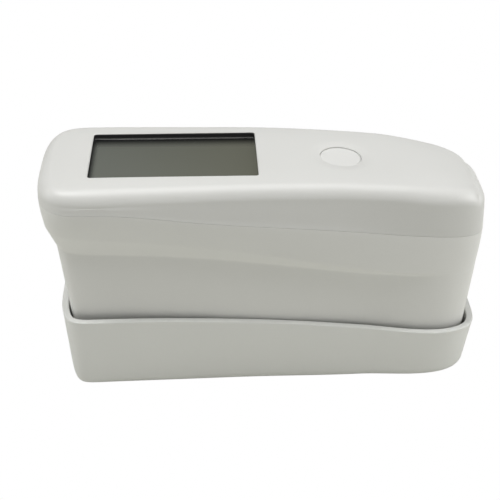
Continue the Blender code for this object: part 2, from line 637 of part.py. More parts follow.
def lower_housing():
    """Lower shell: waist, facet, drafted wall, floor with the aperture, posts and the battery bay's pad."""
    foot = CASE_BOTTOM + CASE_FOOT_RADIUS
    edge = PARTING - SEAT_GAP / 2
    outer = [ring(-housing_inset(CASE_BOTTOM) - CASE_FOOT_RADIUS, CASE_BOTTOM)]
    outer += housing_skin(0, foot, (0, 0.5, 1), (0.3, 0.65, 0.9))
    split = LIP_SPLIT + SEAT_GAP
    lip_top = PARTING + LIP_HEIGHT
    lip = [ring(0, edge), ring(-split, edge), ring(-split, lip_top), ring(-CASE_WALL, lip_top)]
    inner = housing_skin(CASE_WALL, CASE_BOTTOM + CASE_FLOOR, (0, 1), (0.5,))[::-1]
    housing = place("lower_housing", capped_mesh("lower_housing", outer + lip + inner), WARM_WHITE)

    pad_in = POCKET_FLOOR_Y - BAY_PAD_DEPTH
    pad_out = BAY_WALL_Y - BAY_PAD_SET_BACK
    pad_size = (POCKET_LENGTH + 2 * BAY_PAD_MARGIN, pad_out - pad_in, POCKET_HEIGHT + 1.5 * BAY_PAD_MARGIN)
    pad = box_mesh("pad", pad_size, (POCKET_X, (pad_in + pad_out) / 2, BAY_Z))
    join(housing, helper("battery_bay_pad", pad))
    floor_middle = CASE_BOTTOM + CASE_FLOOR / 2
    for number, (x, y) in enumerate(CASE_SCREWS, 1):
        post = cylinder_mesh("post", POST_RADIUS, floor_middle, parting_height(x), 16)
        join(housing, helper(f"post_{number}", post, at(x, y)))
    for number, (x, y) in enumerate(BLOCK_SCREWS, 1):
        post = cylinder_mesh("block_post", BLOCK_POST_RADIUS, floor_middle, BLOCK_EAR_FOOT - SEAT_GAP, 12)
        join(housing, helper(f"block_post_{number}", post, at(x, y)))

    driver = SCREW_HEAD_RADIUS + SEAT_GAP
    shank = SCREW_RADIUS + SEAT_GAP
    for number, (x, y) in enumerate(CASE_SCREWS, 1):
        low, high = -OVERRUN, parting_height(x) + OVERRUN
        seat = parting_height(x) - POST_SEAT
        profile = [(0, low), (driver, low), (driver, seat), (shank, seat), (shank, high), (0, high)]
        cut(housing, helper(f"post_bore_{number}", turned_mesh("post_bore", profile, 12), at(x, y)))
    for number, (x, y) in enumerate(BLOCK_SCREWS, 1):
        hole_foot = BLOCK_EAR_FOOT - BLOCK_SCREW_DEPTH - SEAT_GAP
        hole = cylinder_mesh("block_hole", shank, hole_foot, BLOCK_EAR_FOOT + OVERRUN, 10)
        cut(housing, helper(f"block_hole_{number}", hole, at(x, y)))
    recess = (PLATE_LENGTH + 2 * SEAT_GAP, PLATE_WIDTH + 2 * SEAT_GAP, 2 * (PLATE_THICKNESS + SEAT_GAP))
    recess_mesh = box_mesh("plate_recess", recess, (PLATE_X, 0, CASE_BOTTOM), PLATE_CORNER)
    cut(housing, helper("plate_recess", recess_mesh))
    window = (
        APERTURE_LENGTH + 2 * FLOOR_WINDOW_MARGIN,
        APERTURE_WIDTH + 2 * FLOOR_WINDOW_MARGIN,
        2 * (CASE_FLOOR + OVERRUN),
    )
    window_mesh = box_mesh("floor_window", window, (APERTURE_X, 0, CASE_BOTTOM), FLOOR_WINDOW_CORNER)
    cut(housing, helper("floor_window", window_mesh))
    depth = CASE_HALF_WIDTH - POCKET_FLOOR_Y + OVERRUN
    pocket_size = (POCKET_LENGTH, depth, POCKET_HEIGHT)
    pocket = box_mesh("pocket", pocket_size, (POCKET_X, POCKET_FLOOR_Y + depth / 2, BAY_Z))
    cut(housing, helper("cover_pocket", pocket))
    mouth_size = (BAY_LENGTH, 2 * (BAY_PAD_DEPTH + OVERRUN), 2 * (BATTERY_RADIUS + SEAT_GAP))
    mouth = box_mesh("mouth", mouth_size, (BATTERY_CENTRE_X, POCKET_FLOOR_Y, BAY_Z))
    cut(housing, helper("battery_mouth", mouth))


def calibration_base():
    """Open base that holds the meter: rounded foot, drafted walls and a rim that falls in an S to the nose."""
    rim = smooth_curve(RIM_LINE, ALONG)
    play = by_side(smooth_curve(BASE_SIDE_PLAY, ALONG), BASE_TAIL_PLAY, BASE_NOSE_PLAY)
    inner_at_rim = -housing_inset(rim) + play
    outer_at_rim = inner_at_rim + BASE_WALL
    draft = by_side(BASE_SIDE_DRAFT, BASE_TAIL_DRAFT, BASE_NOSE_DRAFT)
    loops = []
    for angle in np.radians((0, 22, 45, 67, 90)):
        height = BASE_FOOT_RADIUS * (1 - math.cos(angle))
        outset = outer_at_rim - draft * (rim - height) - BASE_FOOT_RADIUS * (1 - math.sin(angle))
        loops.append(ring(outset, height))
    for share in (0.5, 1):
        height = BASE_FOOT_RADIUS + (rim - RIM_ROUND - BASE_FOOT_RADIUS) * share
        loops.append(ring(outer_at_rim - draft * (rim - height), height))
    loops.append(ring(outer_at_rim - RIM_ROUND * 0.3, rim - RIM_ROUND * 0.3))
    loops.append(ring(outer_at_rim - RIM_ROUND, rim))
    loops.append(ring(inner_at_rim + RIM_ROUND, rim))
    loops.append(ring(inner_at_rim, rim - RIM_ROUND))
    loops.append(ring(-housing_inset(BASE_FLOOR) + play, BASE_FLOOR))
    base = place("calibration_base", capped_mesh("calibration_base", loops), BASE_WHITE)
    rib_size = (REST_RIB_LENGTH, REST_RIB_WIDTH, REST_RIB_HEIGHT + OVERRUN)
    rib_z = BASE_FLOOR + REST_RIB_HEIGHT - rib_size[2] / 2
    for name, x in (("tail", CASE_TAIL + REST_RIB_FROM_TAIL), ("nose", CASE_NOSE - REST_RIB_FROM_NOSE)):
        for side in (-1, 1):
            rib = box_mesh("rest_rib", rib_size, (x, side * REST_RIB_ACROSS / 2, rib_z))
            join(base, helper(f"{name}_rest_rib_{side}", rib))
    frame_length = TILE_LENGTH + 2 * (SEAT_GAP + TILE_FRAME_WALL)
    frame_width = TILE_WIDTH + 2 * (SEAT_GAP + TILE_FRAME_WALL)
    frame_size = (frame_length, frame_width, TILE_FRAME_HEIGHT + OVERRUN)
    frame_z = BASE_FLOOR + TILE_FRAME_HEIGHT - frame_size[2] / 2
    frame = box_mesh("tile_frame", frame_size, (APERTURE_X, 0, frame_z), TILE_FRAME_CORNER)
    join(base, helper("tile_frame", frame))
    nest_depth = TILE_RECESS + TILE_FRAME_HEIGHT + OVERRUN
    nest_size = (TILE_LENGTH + 2 * SEAT_GAP, TILE_WIDTH + 2 * SEAT_GAP, nest_depth)
    nest = box_mesh("tile_nest", nest_size, (APERTURE_X, 0, BASE_FLOOR - TILE_RECESS + nest_depth / 2))
    cut(base, helper("tile_nest", nest))


def calibration_tile():
    """Polished black glass standard, with its foam pad under it in the base's nest."""
    pad_foot = BASE_FLOOR - TILE_RECESS + SEAT_GAP
    pad_size = (TILE_LENGTH - 2 * PAD_MARGIN, TILE_WIDTH - 2 * PAD_MARGIN, PAD_THICKNESS)
    pad = box_mesh("tile_pad", pad_size, (APERTURE_X, 0, pad_foot + PAD_THICKNESS / 2))
    place("tile_pad", pad, FOAM_GREY)
    tile_foot = pad_foot + PAD_THICKNESS + SEAT_GAP
    size = (TILE_LENGTH, TILE_WIDTH, TILE_THICKNESS)
    tile = box_mesh("calibration_tile", size, (APERTURE_X, 0, tile_foot + TILE_THICKNESS / 2), TILE_CORNER)
    place("calibration_tile", tile, BLACK_GLASS)


def base_plate():
    """Plate flush with the case's underside, with the measuring aperture."""
    size = (PLATE_LENGTH, PLATE_WIDTH, PLATE_THICKNESS)
    plate_z = CASE_BOTTOM + PLATE_THICKNESS / 2
    plate_mesh = box_mesh("base_plate", size, (PLATE_X, 0, plate_z), PLATE_CORNER)
    plate = place("base_plate", plate_mesh, ANODISED_BLACK)
    slot_size = (APERTURE_LENGTH, APERTURE_WIDTH, 3 * PLATE_THICKNESS)
    slot = box_mesh("aperture", slot_size, (APERTURE_X, 0, plate_z), APERTURE_WIDTH * 0.49)
    cut(plate, helper("aperture", slot))


def display():
    """Window, liquid-crystal panel, light panel, holder and the two conductive strips, stacked on the board."""
    window = (WINDOW_LENGTH, WINDOW_WIDTH, WINDOW_THICKNESS)
    window_z = WINDOW_TOP - WINDOW_THICKNESS / 2
    window_mesh = box_mesh("display_window", window, (DISPLAY_X, 0, window_z), DISPLAY_CORNER)
    place("display_window", window_mesh, DARK_GLASS)
    panel = (LCD_LENGTH, LCD_WIDTH, LCD_THICKNESS)
    panel_z = LCD_TOP - LCD_THICKNESS / 2
    place("lcd_panel", box_mesh("lcd_panel", panel, (DISPLAY_X, 0, panel_z)), LCD_GREY)
    light_width = LCD_WIDTH - 2 * (STRIP_MARGIN + STRIP_WIDTH + STRIP_TO_LIGHT)
    light = (LCD_LENGTH, light_width, BACKLIGHT_THICKNESS)
    light_z = LCD_TOP - LCD_THICKNESS - SEAT_GAP - BACKLIGHT_THICKNESS / 2
    place("backlight_panel", box_mesh("backlight_panel", light, (DISPLAY_X, 0, light_z)), PALE_PLASTIC)
    foot = BOARD_TOP + SEAT_GAP
    strip = (LCD_LENGTH - 2 * STRIP_END_MARGIN, STRIP_WIDTH, LCD_TOP - LCD_THICKNESS - SEAT_GAP - foot)
    strip_z = foot + strip[2] / 2
    for name, side in (("near", -1), ("far", 1)):
        strip_y = side * (LCD_WIDTH / 2 - STRIP_WIDTH / 2 - STRIP_MARGIN)
        place(f"lcd_strip_{name}", box_mesh("strip", strip, (DISPLAY_X, strip_y, strip_z)), RUBBER_GREY)
    head = WINDOW_TOP - WINDOW_THICKNESS - SEAT_GAP
    centre = (DISPLAY_X, 0, (foot + head) / 2)
    outer = (LCD_FRAME_LENGTH, LCD_FRAME_WIDTH, head - foot)
    frame = place("lcd_frame", box_mesh("lcd_frame", outer, centre, LCD_FRAME_CORNER), BLACK_PLASTIC)
    hollow = (LCD_LENGTH + 2 * SEAT_GAP, LCD_WIDTH + 2 * SEAT_GAP, 2 * outer[2])
    hollow_z = LCD_TOP + SEAT_GAP - hollow[2] / 2
    cut(frame, helper("lcd_frame_hollow", box_mesh("hollow", hollow, (DISPLAY_X, 0, hollow_z))))
    well_start = DISPLAY_START + WELL_TAIL_LEDGE
    well_end = DISPLAY_END + WELL_SET_BACK
    well = (well_end - well_start, DISPLAY_WIDTH + 2 * WELL_SET_BACK, 3 * outer[2])
    well_x = (well_start + well_end) / 2
    cut(frame, helper("display_well", box_mesh("well", well, (well_x, 0, LCD_TOP), DISPLAY_CORNER)))


def main_board():
    """T-shaped circuit board under the display, with the processor on its underside."""
    board_z = BOARD_TOP - BOARD_THICKNESS / 2
    wide = (BOARD_WIDE_END - BOARD_WIDE_START, BOARD_WIDTH, BOARD_THICKNESS)
    wide_x = (BOARD_WIDE_START + BOARD_WIDE_END) / 2
    board_mesh = box_mesh("main_board", wide, (wide_x, 0, board_z), BOARD_CORNER)
    board = place("main_board", board_mesh, BOARD_GREEN)
    tab_start = BOARD_WIDE_END - 2 * BOARD_CORNER
    tab_end = BUTTON_X + BOARD_TAB_PAST_BUTTON
    tab = (tab_end - tab_start, BOARD_TAB_WIDTH, BOARD_THICKNESS)
    join(board, helper("board_tab", box_mesh("board_tab", tab, ((tab_start + tab_end) / 2, 0, board_z))))
    low, high = BOARD_TOP - BOARD_THICKNESS - OVERRUN, BOARD_TOP + OVERRUN
    for number, (x, y) in enumerate(BOARD_SCREWS, 1):
        hole = cylinder_mesh("board_hole", SCREW_RADIUS + SEAT_GAP, low, high, 10)
        cut(board, helper(f"board_hole_{number}", hole, at(x, y)))
    chip_size = (PROCESSOR_SIZE, PROCESSOR_SIZE, PROCESSOR_THICKNESS)
    chip_z = BOARD_TOP - BOARD_THICKNESS - SEAT_GAP - PROCESSOR_THICKNESS / 2
    chip = box_mesh("processor", chip_size, (DISPLAY_X, 0, chip_z))
    place("processor", chip, BLACK_PLASTIC)


def screw(name, matrix, length):
    """Pan-head screw that points up, with its origin where the head bears."""
    profile = [
        (0, -SCREW_HEAD_HEIGHT),
        (SCREW_HEAD_RADIUS * 0.75, -SCREW_HEAD_HEIGHT),
        (SCREW_HEAD_RADIUS, -SCREW_HEAD_HEIGHT * 0.5),
        (SCREW_HEAD_RADIUS, 0),
        (SCREW_RADIUS, 0),
        (SCREW_RADIUS, length - SCREW_RADIUS),
        (0, length),
    ]
    place(name, turned_mesh(name, profile, 12), BRIGHT_STEEL, matrix)


def screws():
    """Four screws close the case from below, two hold the board and two the optical block."""
    for number, (x, y) in enumerate(CASE_SCREWS, 1):
        seat = parting_height(x) - POST_SEAT - SEAT_GAP
        screw(f"case_screw_{number}", Matrix.Translation((x, y, seat)), POST_SEAT + SCREW_GRIP - OVERRUN)
    for number, (x, y) in enumerate(BOARD_SCREWS, 1):
        seat = BOARD_TOP - BOARD_THICKNESS - SEAT_GAP
        screw(f"board_screw_{number}", Matrix.Translation((x, y, seat)), BOARD_THICKNESS + BOARD_SCREW_GRIP)
    for number, (x, y) in enumerate(BLOCK_SCREWS, 1):
        seat = BLOCK_EAR_FOOT + BLOCK_EAR_THICKNESS + SEAT_GAP
        turn = Matrix.Translation((x, y, seat)) @ Matrix.Rotation(math.pi, 4, "X")
        screw(f"block_screw_{number}", turn, BLOCK_EAR_THICKNESS + BLOCK_SCREW_DEPTH)


def measure_button():
    """Round push button: a shallow cap in the finger dish, with a flange that holds it in the cover."""
    cap_top = -DISH_DEPTH + BUTTON_CAP_RISE
    flange_top = -CASE_WALL - SEAT_GAP - BUTTON_FLANGE_DROP
    profile = [
        (0, flange_top - BUTTON_FLANGE_THICKNESS),
        (BUTTON_RADIUS + BUTTON_FLANGE, flange_top - BUTTON_FLANGE_THICKNESS),
        (BUTTON_RADIUS + BUTTON_FLANGE, flange_top),
        (BUTTON_RADIUS, flange_top),
        (BUTTON_RADIUS, cap_top - BUTTON_CAP_EDGE),
        (BUTTON_RADIUS - BUTTON_CAP_EDGE * 0.3, cap_top - BUTTON_CAP_EDGE * 0.3),
        (BUTTON_RADIUS - BUTTON_CAP_EDGE, cap_top),
        (BUTTON_RADIUS * 0.6, cap_top + BUTTON_CAP_CROWN * 0.7),
        (0, cap_top + BUTTON_CAP_CROWN),
    ]
    place("measure_button", turned_mesh("measure_button", profile, 40), BUTTON_WHITE, BUTTON_FRAME)


def button_switch():
    """Low switch on the board under the button, with the plunger that the button presses."""
    under_button = BUTTON_UNDERSIDE_Z - SEAT_GAP
    foot = BOARD_TOP + SEAT_GAP
    body_top = foot + SWITCH_HEIGHT
    size = (SWITCH_SIZE, SWITCH_SIZE, SWITCH_HEIGHT)
    body_mesh = box_mesh("switch", size, (BUTTON_X, 0, (body_top + foot) / 2))
    body = place("button_switch", body_mesh, BLACK_PLASTIC)
    bore_foot = body_top - BUTTON_TRAVEL - 2 * SEAT_GAP
    bore = cylinder_mesh("bore", PLUNGER_RADIUS + SEAT_GAP, bore_foot, body_top + OVERRUN, 16)
    cut(body, helper("plunger_bore", bore, at(BUTTON_X, 0)))
    plunger = cylinder_mesh("plunger", PLUNGER_RADIUS, body_top - SEAT_GAP / 2, under_button, 16)
    place("switch_plunger", plunger, PALE_PLASTIC, at(BUTTON_X, 0))


def tube_frame(side):
    """Frame of one optical tube: Z runs from the aperture up the tube, to -X for the source side."""
    turn = Matrix.Rotation(side * TUBE_ANGLE, 4, "Y")
    return Matrix.Translation((APERTURE_X, 0, CASE_BOTTOM)) @ turn


def optical_block():
    """Machined block with two tubes, stepped for the lenses, and two ears for its screws."""
    rise = math.cos(TUBE_ANGLE)
    reach = math.sin(TUBE_ANGLE)
    foot = CASE_FLOOR + SEAT_GAP
    right = []
    start = (foot + reach * TUBE_OUTER_RADIUS) / rise
    right.append((start * reach + rise * TUBE_OUTER_RADIUS, foot))
    right.append((TUBE_LENGTH * reach + rise * TUBE_OUTER_RADIUS, TUBE_LENGTH * rise - reach * TUBE_OUTER_RADIUS))
    right.append((TUBE_LENGTH * reach - rise * TUBE_OUTER_RADIUS, TUBE_LENGTH * rise + reach * TUBE_OUTER_RADIUS))
    valley = (BLOCK_VALLEY_HEIGHT - reach * TUBE_OUTER_RADIUS) / rise
    right.append((valley * reach - rise * TUBE_OUTER_RADIUS, BLOCK_VALLEY_HEIGHT))
    outline = right + [(-x, z) for x, z in right[::-1]]
    outline = [(x + APERTURE_X, z + CASE_BOTTOM) for x, z in outline]
    block = place("optical_block", extruded_mesh("optical_block", outline, BLOCK_WIDTH), ANODISED_BLACK)
    ears = (BLOCK_EAR_LENGTH, BLOCK_EAR_SPAN, BLOCK_EAR_THICKNESS)
    ear_z = BLOCK_EAR_FOOT + BLOCK_EAR_THICKNESS / 2
    ears_mesh = box_mesh("block_ears", ears, (APERTURE_X, 0, ear_z), BLOCK_EAR_CORNER)
    join(block, helper("block_ears", ears_mesh))
    wide = LENS_RADIUS + SEAT_GAP
    end = TUBE_LENGTH + OVERRUN
    profile = [
        (0, -TUBE_BORE_RADIUS),
        (TUBE_BORE_RADIUS, -TUBE_BORE_RADIUS),
        (TUBE_BORE_RADIUS, LENS_SEAT),
        (wide, LENS_SEAT),
        (wide, end),
        (0, end),
    ]
    for name, side in (("source", -1), ("receiver", 1)):
        cut(block, helper(f"{name}_bore", turned_mesh("tube_bore", profile, 24), tube_frame(side)))
    for number, (x, y) in enumerate(BLOCK_SCREWS, 1):
        low, high = ear_z - BLOCK_EAR_THICKNESS, ear_z + BLOCK_EAR_THICKNESS
        hole = cylinder_mesh("ear_hole", SCREW_RADIUS + SEAT_GAP, low, high, 12)
        cut(block, helper(f"ear_hole_{number}", hole, at(x, y)))


def optics():
    """What each tube holds, from the sample outwards: lens, spacer, stop, holder and light source or detector."""
    names = {
        -1: ("source_lens", "source_spacer", "source_stop", "lamp_holder", "lamp", "lamp_board"),
        1: ("receiver_lens", "receiver_spacer", "receiver_stop", "detector_holder", "photodiode", "detector_board"),
    }
    for side, (lens, spacer, stop, holder, emitter, board) in names.items():
        frame = tube_frame(side)
        foot = LENS_SEAT + SEAT_GAP
        bulge = LENS_THICKNESS - LENS_EDGE
        land = LENS_RADIUS - SPACER_WALL - SEAT_GAP
        edge = foot + LENS_EDGE
        profile = [(0, foot), (LENS_RADIUS, foot), (LENS_RADIUS, edge)]
        for angle in np.radians((0, 25, 50, 70)):
            profile.append((land * math.cos(angle), edge + bulge * math.sin(angle)))
        profile.append((0, foot + LENS_THICKNESS))
        place(lens, turned_mesh(lens, profile, 24), CLEAR_GLASS, frame)
        foot += LENS_EDGE + SEAT_GAP
        inner = LENS_RADIUS - SPACER_WALL
        outer = LENS_RADIUS
        head = foot + SPACER_LENGTH
        profile = [(outer, foot), (outer, head), (inner, head), (inner, foot)]
        place(spacer, turned_mesh(spacer, profile, 20), ANODISED_BLACK, frame)
        foot = head + SEAT_GAP
        head = foot + STOP_THICKNESS
        profile = [(outer, foot), (outer, head), (STOP_HOLE_RADIUS, head), (STOP_HOLE_RADIUS, foot)]
        place(stop, turned_mesh(stop, profile, 20), BLACK_PLASTIC, frame)
        foot = head + SEAT_GAP
        bore = EMITTER_RADIUS + SEAT_GAP
        profile = [(outer, foot), (outer, TUBE_LENGTH), (bore, TUBE_LENGTH), (bore, foot)]
        place(holder, turned_mesh(holder, profile, 20), BLACK_PLASTIC, frame)
        front = TUBE_LENGTH - EMITTER_LENGTH
        profile = []
        for angle in np.radians((0, 35, 65, 90)):
            bulge = EMITTER_DOME * math.cos(angle)
            profile.append((EMITTER_RADIUS * math.sin(angle), front - bulge))
        profile += [(EMITTER_RADIUS, TUBE_LENGTH), (0, TUBE_LENGTH)]
        finish = BRIGHT_STEEL if side > 0 else CLEAR_GLASS
        place(emitter, turned_mesh(emitter, profile, 16), finish, frame)
        size = (SENSOR_BOARD_SIZE, SENSOR_BOARD_SIZE, SENSOR_BOARD_THICKNESS)
        centre = (0, 0, TUBE_LENGTH + SEAT_GAP + SENSOR_BOARD_THICKNESS / 2)
        place(board, box_mesh(board, size, centre), BOARD_GREEN, frame)


def battery_bay():
    """Tray, cell, spring and contact plate, and the cover that slides along the far wall."""
    inner_start = BATTERY_CENTRE_X - BAY_LENGTH / 2
    low_y = BATTERY_Y - BATTERY_RADIUS - SEAT_GAP - TRAY_WALL
    high_y = POCKET_FLOOR_Y - BAY_PAD_DEPTH - SEAT_GAP
    height = 2 * (BATTERY_RADIUS + SEAT_GAP + TRAY_WALL)
    size = (BAY_LENGTH + 2 * TRAY_WALL, high_y - low_y, height)
    centre = (BATTERY_CENTRE_X, (low_y + high_y) / 2, BAY_Z)
    tray = place("battery_tray", box_mesh("battery_tray", size, centre), BLACK_PLASTIC)
    hollow_size = (BAY_LENGTH, 2 * size[1], height - 2 * TRAY_WALL)
    hollow_y = low_y + TRAY_WALL + hollow_size[1] / 2
    hollow = box_mesh("tray_hollow", hollow_size, (BATTERY_CENTRE_X, hollow_y, BAY_Z))
    cut(tray, helper("tray_hollow", hollow))

    cell_start = inner_start + SPRING_ROOM + SEAT_GAP
    profile = [
        (0, 0),
        (BATTERY_RADIUS - BATTERY_CRIMP, 0),
        (BATTERY_RADIUS, BATTERY_CRIMP),
        (BATTERY_RADIUS, BATTERY_LENGTH - BATTERY_CRIMP),
        (BATTERY_RADIUS - BATTERY_CRIMP, BATTERY_LENGTH),
        (BATTERY_NIPPLE_RADIUS, BATTERY_LENGTH),
        (BATTERY_NIPPLE_RADIUS, BATTERY_LENGTH + BATTERY_NIPPLE),
        (0, BATTERY_LENGTH + BATTERY_NIPPLE),
    ]
    lay = Matrix.Rotation(math.pi / 2, 4, "Y")
    cell_frame = Matrix.Translation((cell_start, BATTERY_Y, BAY_Z)) @ lay
    place("battery_cell", turned_mesh("battery_cell", profile, 28), CELL_SLEEVE, cell_frame)

    plate = (CONTACT_THICKNESS, CONTACT_SIZE, CONTACT_SIZE)
    left_x = inner_start + SEAT_GAP + CONTACT_THICKNESS / 2
    right_x = inner_start + BAY_LENGTH - SEAT_GAP - CONTACT_THICKNESS / 2
    place("battery_contact", box_mesh("battery_contact", plate, (right_x, BATTERY_Y, BAY_Z)), BRIGHT_STEEL)
    place("spring_contact", box_mesh("spring_contact", plate, (left_x, BATTERY_Y, BAY_Z)), BRIGHT_STEEL)

    curve = bpy.data.curves.new("battery_spring", "CURVE")
    curve.dimensions = "3D"
    curve.bevel_depth = SPRING_WIRE
    curve.bevel_resolution = 1
    curve.use_fill_caps = True
    steps = SPRING_TURNS * 12
    spline = curve.splines.new("POLY")
    spline.points.add(steps)
    spring_start = left_x + CONTACT_THICKNESS / 2 + SEAT_GAP + SPRING_WIRE
    spring_run = cell_start - SEAT_GAP - SPRING_WIRE - spring_start
    for step in range(steps + 1):
        share = step / steps
        radius = SPRING_WIDE_RADIUS + (SPRING_NARROW_RADIUS - SPRING_WIDE_RADIUS) * share
        angle = 2 * math.pi * SPRING_TURNS * share
        across, up = radius * math.cos(angle), radius * math.sin(angle)
        spline.points[step].co = (spring_start + spring_run * share, BATTERY_Y + across, BAY_Z + up, 1)
    spring = bpy.data.objects.new("battery_spring", curve)
    curve.materials.append(finish_material("battery_spring", BRIGHT_STEEL))
    bpy.context.scene.collection.objects.link(spring)

    cover_start = POCKET_X - POCKET_LENGTH / 2 + SLIDE_GAP
    cover_height = POCKET_HEIGHT - 2 * SLIDE_GAP
    cover_size = (BATTERY_COVER_LENGTH, BATTERY_COVER_THICKNESS, cover_height)
    cover_y = POCKET_FLOOR_Y + SEAT_GAP + BATTERY_COVER_THICKNESS / 2
    cover_x = cover_start + BATTERY_COVER_LENGTH / 2
    cover_mesh = box_mesh("battery_cover", cover_size, (cover_x, cover_y, BAY_Z))
    cover = place("battery_cover", cover_mesh, WARM_WHITE)
    tall = cover_height * 0.3
    for number in range(GRIP_RIBS):
        x = cover_start + BATTERY_COVER_LENGTH - GRIP_FROM_END - number * GRIP_RIB_PITCH
        rib = cylinder_mesh("grip_rib", GRIP_RIB_RADIUS, -tall, tall, 8)
        spot = Matrix.Translation((x, cover_y + BATTERY_COVER_THICKNESS / 2, BAY_Z))
        join(cover, helper(f"grip_rib_{number}", rib, spot))


def stand_on_middle():
    """Moves the whole along X, so that the origin is under the middle of its length."""
    widest = [bpy.data.objects[name] for name in ("calibration_base", "top_cover")]
    ends = [corner[0] for piece in widest for corner in piece.bound_box]
    middle = bpy.data.objects.new("middle", None)
    bpy.context.scene.collection.objects.link(middle)
    for piece in bpy.data.objects:
        if piece != middle:
            piece.parent = middle
    middle.location.x = -(min(ends) + max(ends)) / 2


# Places that follow from the sizes and the case's own surfaces
TOP_Z = float(top_height(DISPLAY_START, DISPLAY_WIDTH / 2))
WINDOW_TOP = TOP_Z - DISPLAY_LIP - SEAT_GAP
WINDOW_LENGTH = DISPLAY_LENGTH + 2 * WINDOW_BORDER
WINDOW_WIDTH = DISPLAY_WIDTH + 2 * WINDOW_BORDER
LCD_LENGTH = WINDOW_LENGTH - 2 * LCD_MARGIN
LCD_WIDTH = WINDOW_WIDTH - 2 * LCD_MARGIN
LCD_FRAME_LENGTH = LCD_LENGTH + 2 * (SEAT_GAP + LCD_FRAME_WALL)
LCD_FRAME_WIDTH = LCD_WIDTH + 2 * (SEAT_GAP + LCD_FRAME_WALL)
LCD_TOP = WINDOW_TOP - WINDOW_THICKNESS - SEAT_GAP - DISPLAY_WELL
BOARD_TOP = LCD_TOP - LCD_THICKNESS - BACKLIGHT_THICKNESS - 2 * SEAT_GAP
LCD_FRAME_ROOM = WINDOW_TOP - BOARD_TOP
BOARD_WIDTH = 2 * (CASE_HALF_WIDTH - CASE_WALL - WAIST_AT_TAIL - BOARD_SIDE_ROOM)
BOARD_WIDE_START = DISPLAY_X - WINDOW_LENGTH / 2 - LCD_FRAME_WALL - BOARD_END_MARGIN
BOARD_SCREW_X = DISPLAY_END + BOARD_SCREW_FROM_DISPLAY
BOARD_WIDE_END = BOARD_SCREW_X + BOARD_SCREW_INSET

# Screws, as (x, y), the near side first
BOARD_SCREWS = tuple((BOARD_SCREW_X, side * (BOARD_WIDTH / 2 - BOARD_SCREW_INSET)) for side in (-1, 1))
BLOCK_EAR_FOOT = CASE_BOTTOM + BLOCK_EAR_HEIGHT
BLOCK_EAR_SPAN = 2 * (side_wall_y(APERTURE_X, BLOCK_EAR_FOOT) - CASE_WALL - BLOCK_EAR_TO_WALL)
BLOCK_SCREWS = tuple((APERTURE_X, side * (BLOCK_WIDTH + BLOCK_EAR_SPAN) / 4) for side in (-1, 1))
BLOCK_POST_RADIUS = (BLOCK_EAR_SPAN - BLOCK_WIDTH) / 4 - SEAT_GAP
MIDDLE_SCREW_X = APERTURE_X + MIDDLE_SCREW_FROM_APERTURE
NOSE_SCREW_X = CASE_NOSE - NOSE_SCREW_FROM_NOSE
CASE_SCREWS = tuple(
    (x, side * (BLOCK_WIDTH / 2 + room + POST_RADIUS))
    for x, room in ((MIDDLE_SCREW_X, MIDDLE_POST_ROOM), (NOSE_SCREW_X, NOSE_POST_ROOM))
    for side in (-1, 1)
)

BUTTON_RISE = top_height(BUTTON_X - BUTTON_SLOPE_STEP, 0) - top_height(BUTTON_X + BUTTON_SLOPE_STEP, 0)
BUTTON_TILT = math.atan2(BUTTON_RISE, 2 * BUTTON_SLOPE_STEP)
BUTTON_SKIN_Z = float(top_height(BUTTON_X, 0))
BUTTON_FRAME = Matrix.Translation((BUTTON_X, 0, BUTTON_SKIN_Z)) @ Matrix.Rotation(BUTTON_TILT, 4, "Y")
BUTTON_UNDERSIDE = CASE_WALL + SEAT_GAP + BUTTON_FLANGE_DROP + BUTTON_FLANGE_THICKNESS
BUTTON_UNDERSIDE_Z = (
    BUTTON_SKIN_Z - BUTTON_UNDERSIDE * math.cos(BUTTON_TILT) - PLUNGER_RADIUS * math.sin(BUTTON_TILT)
)

BLOCK_TOP = TUBE_LENGTH * math.cos(TUBE_ANGLE) + TUBE_OUTER_RADIUS * math.sin(TUBE_ANGLE)
BAY_Z = CASE_BOTTOM + BLOCK_TOP + TRAY_CLEARANCE + TRAY_WALL + SEAT_GAP + BATTERY_RADIUS
SPRING_ROOM = SPRING_LENGTH + CONTACT_THICKNESS + 2 * SEAT_GAP
BAY_LENGTH = SPRING_ROOM + BATTERY_LENGTH + BATTERY_NIPPLE + CONTACT_THICKNESS + 3 * SEAT_GAP
POCKET_HEIGHT = 2 * (BATTERY_RADIUS + SEAT_GAP + COVER_LEDGE)
POCKET_LENGTH = BATTERY_COVER_LENGTH + BATTERY_COVER_TRAVEL + 2 * SLIDE_GAP
POCKET_X = BATTERY_CENTRE_X - BATTERY_COVER_LENGTH / 2 - SLIDE_GAP + POCKET_LENGTH / 2
BAY_WALL_Y = min(side_wall_y(BATTERY_CENTRE_X + end * BATTERY_COVER_LENGTH / 2, BAY_Z) for end in (-1, 1))
POCKET_FLOOR_Y = BAY_WALL_Y - BATTERY_COVER_THICKNESS - SEAT_GAP
BATTERY_Y = POCKET_FLOOR_Y - SEAT_GAP - BATTERY_RADIUS


clear_scene()
calibration_base()
calibration_tile()
lower_housing()
top_cover()
base_plate()
display()
main_board()
measure_button()
button_switch()
optical_block()
optics()
battery_bay()
screws()
stand_on_middle()
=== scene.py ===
import json
import math

import bmesh
import bpy
import numpy as np
from mathutils import Matrix, Vector


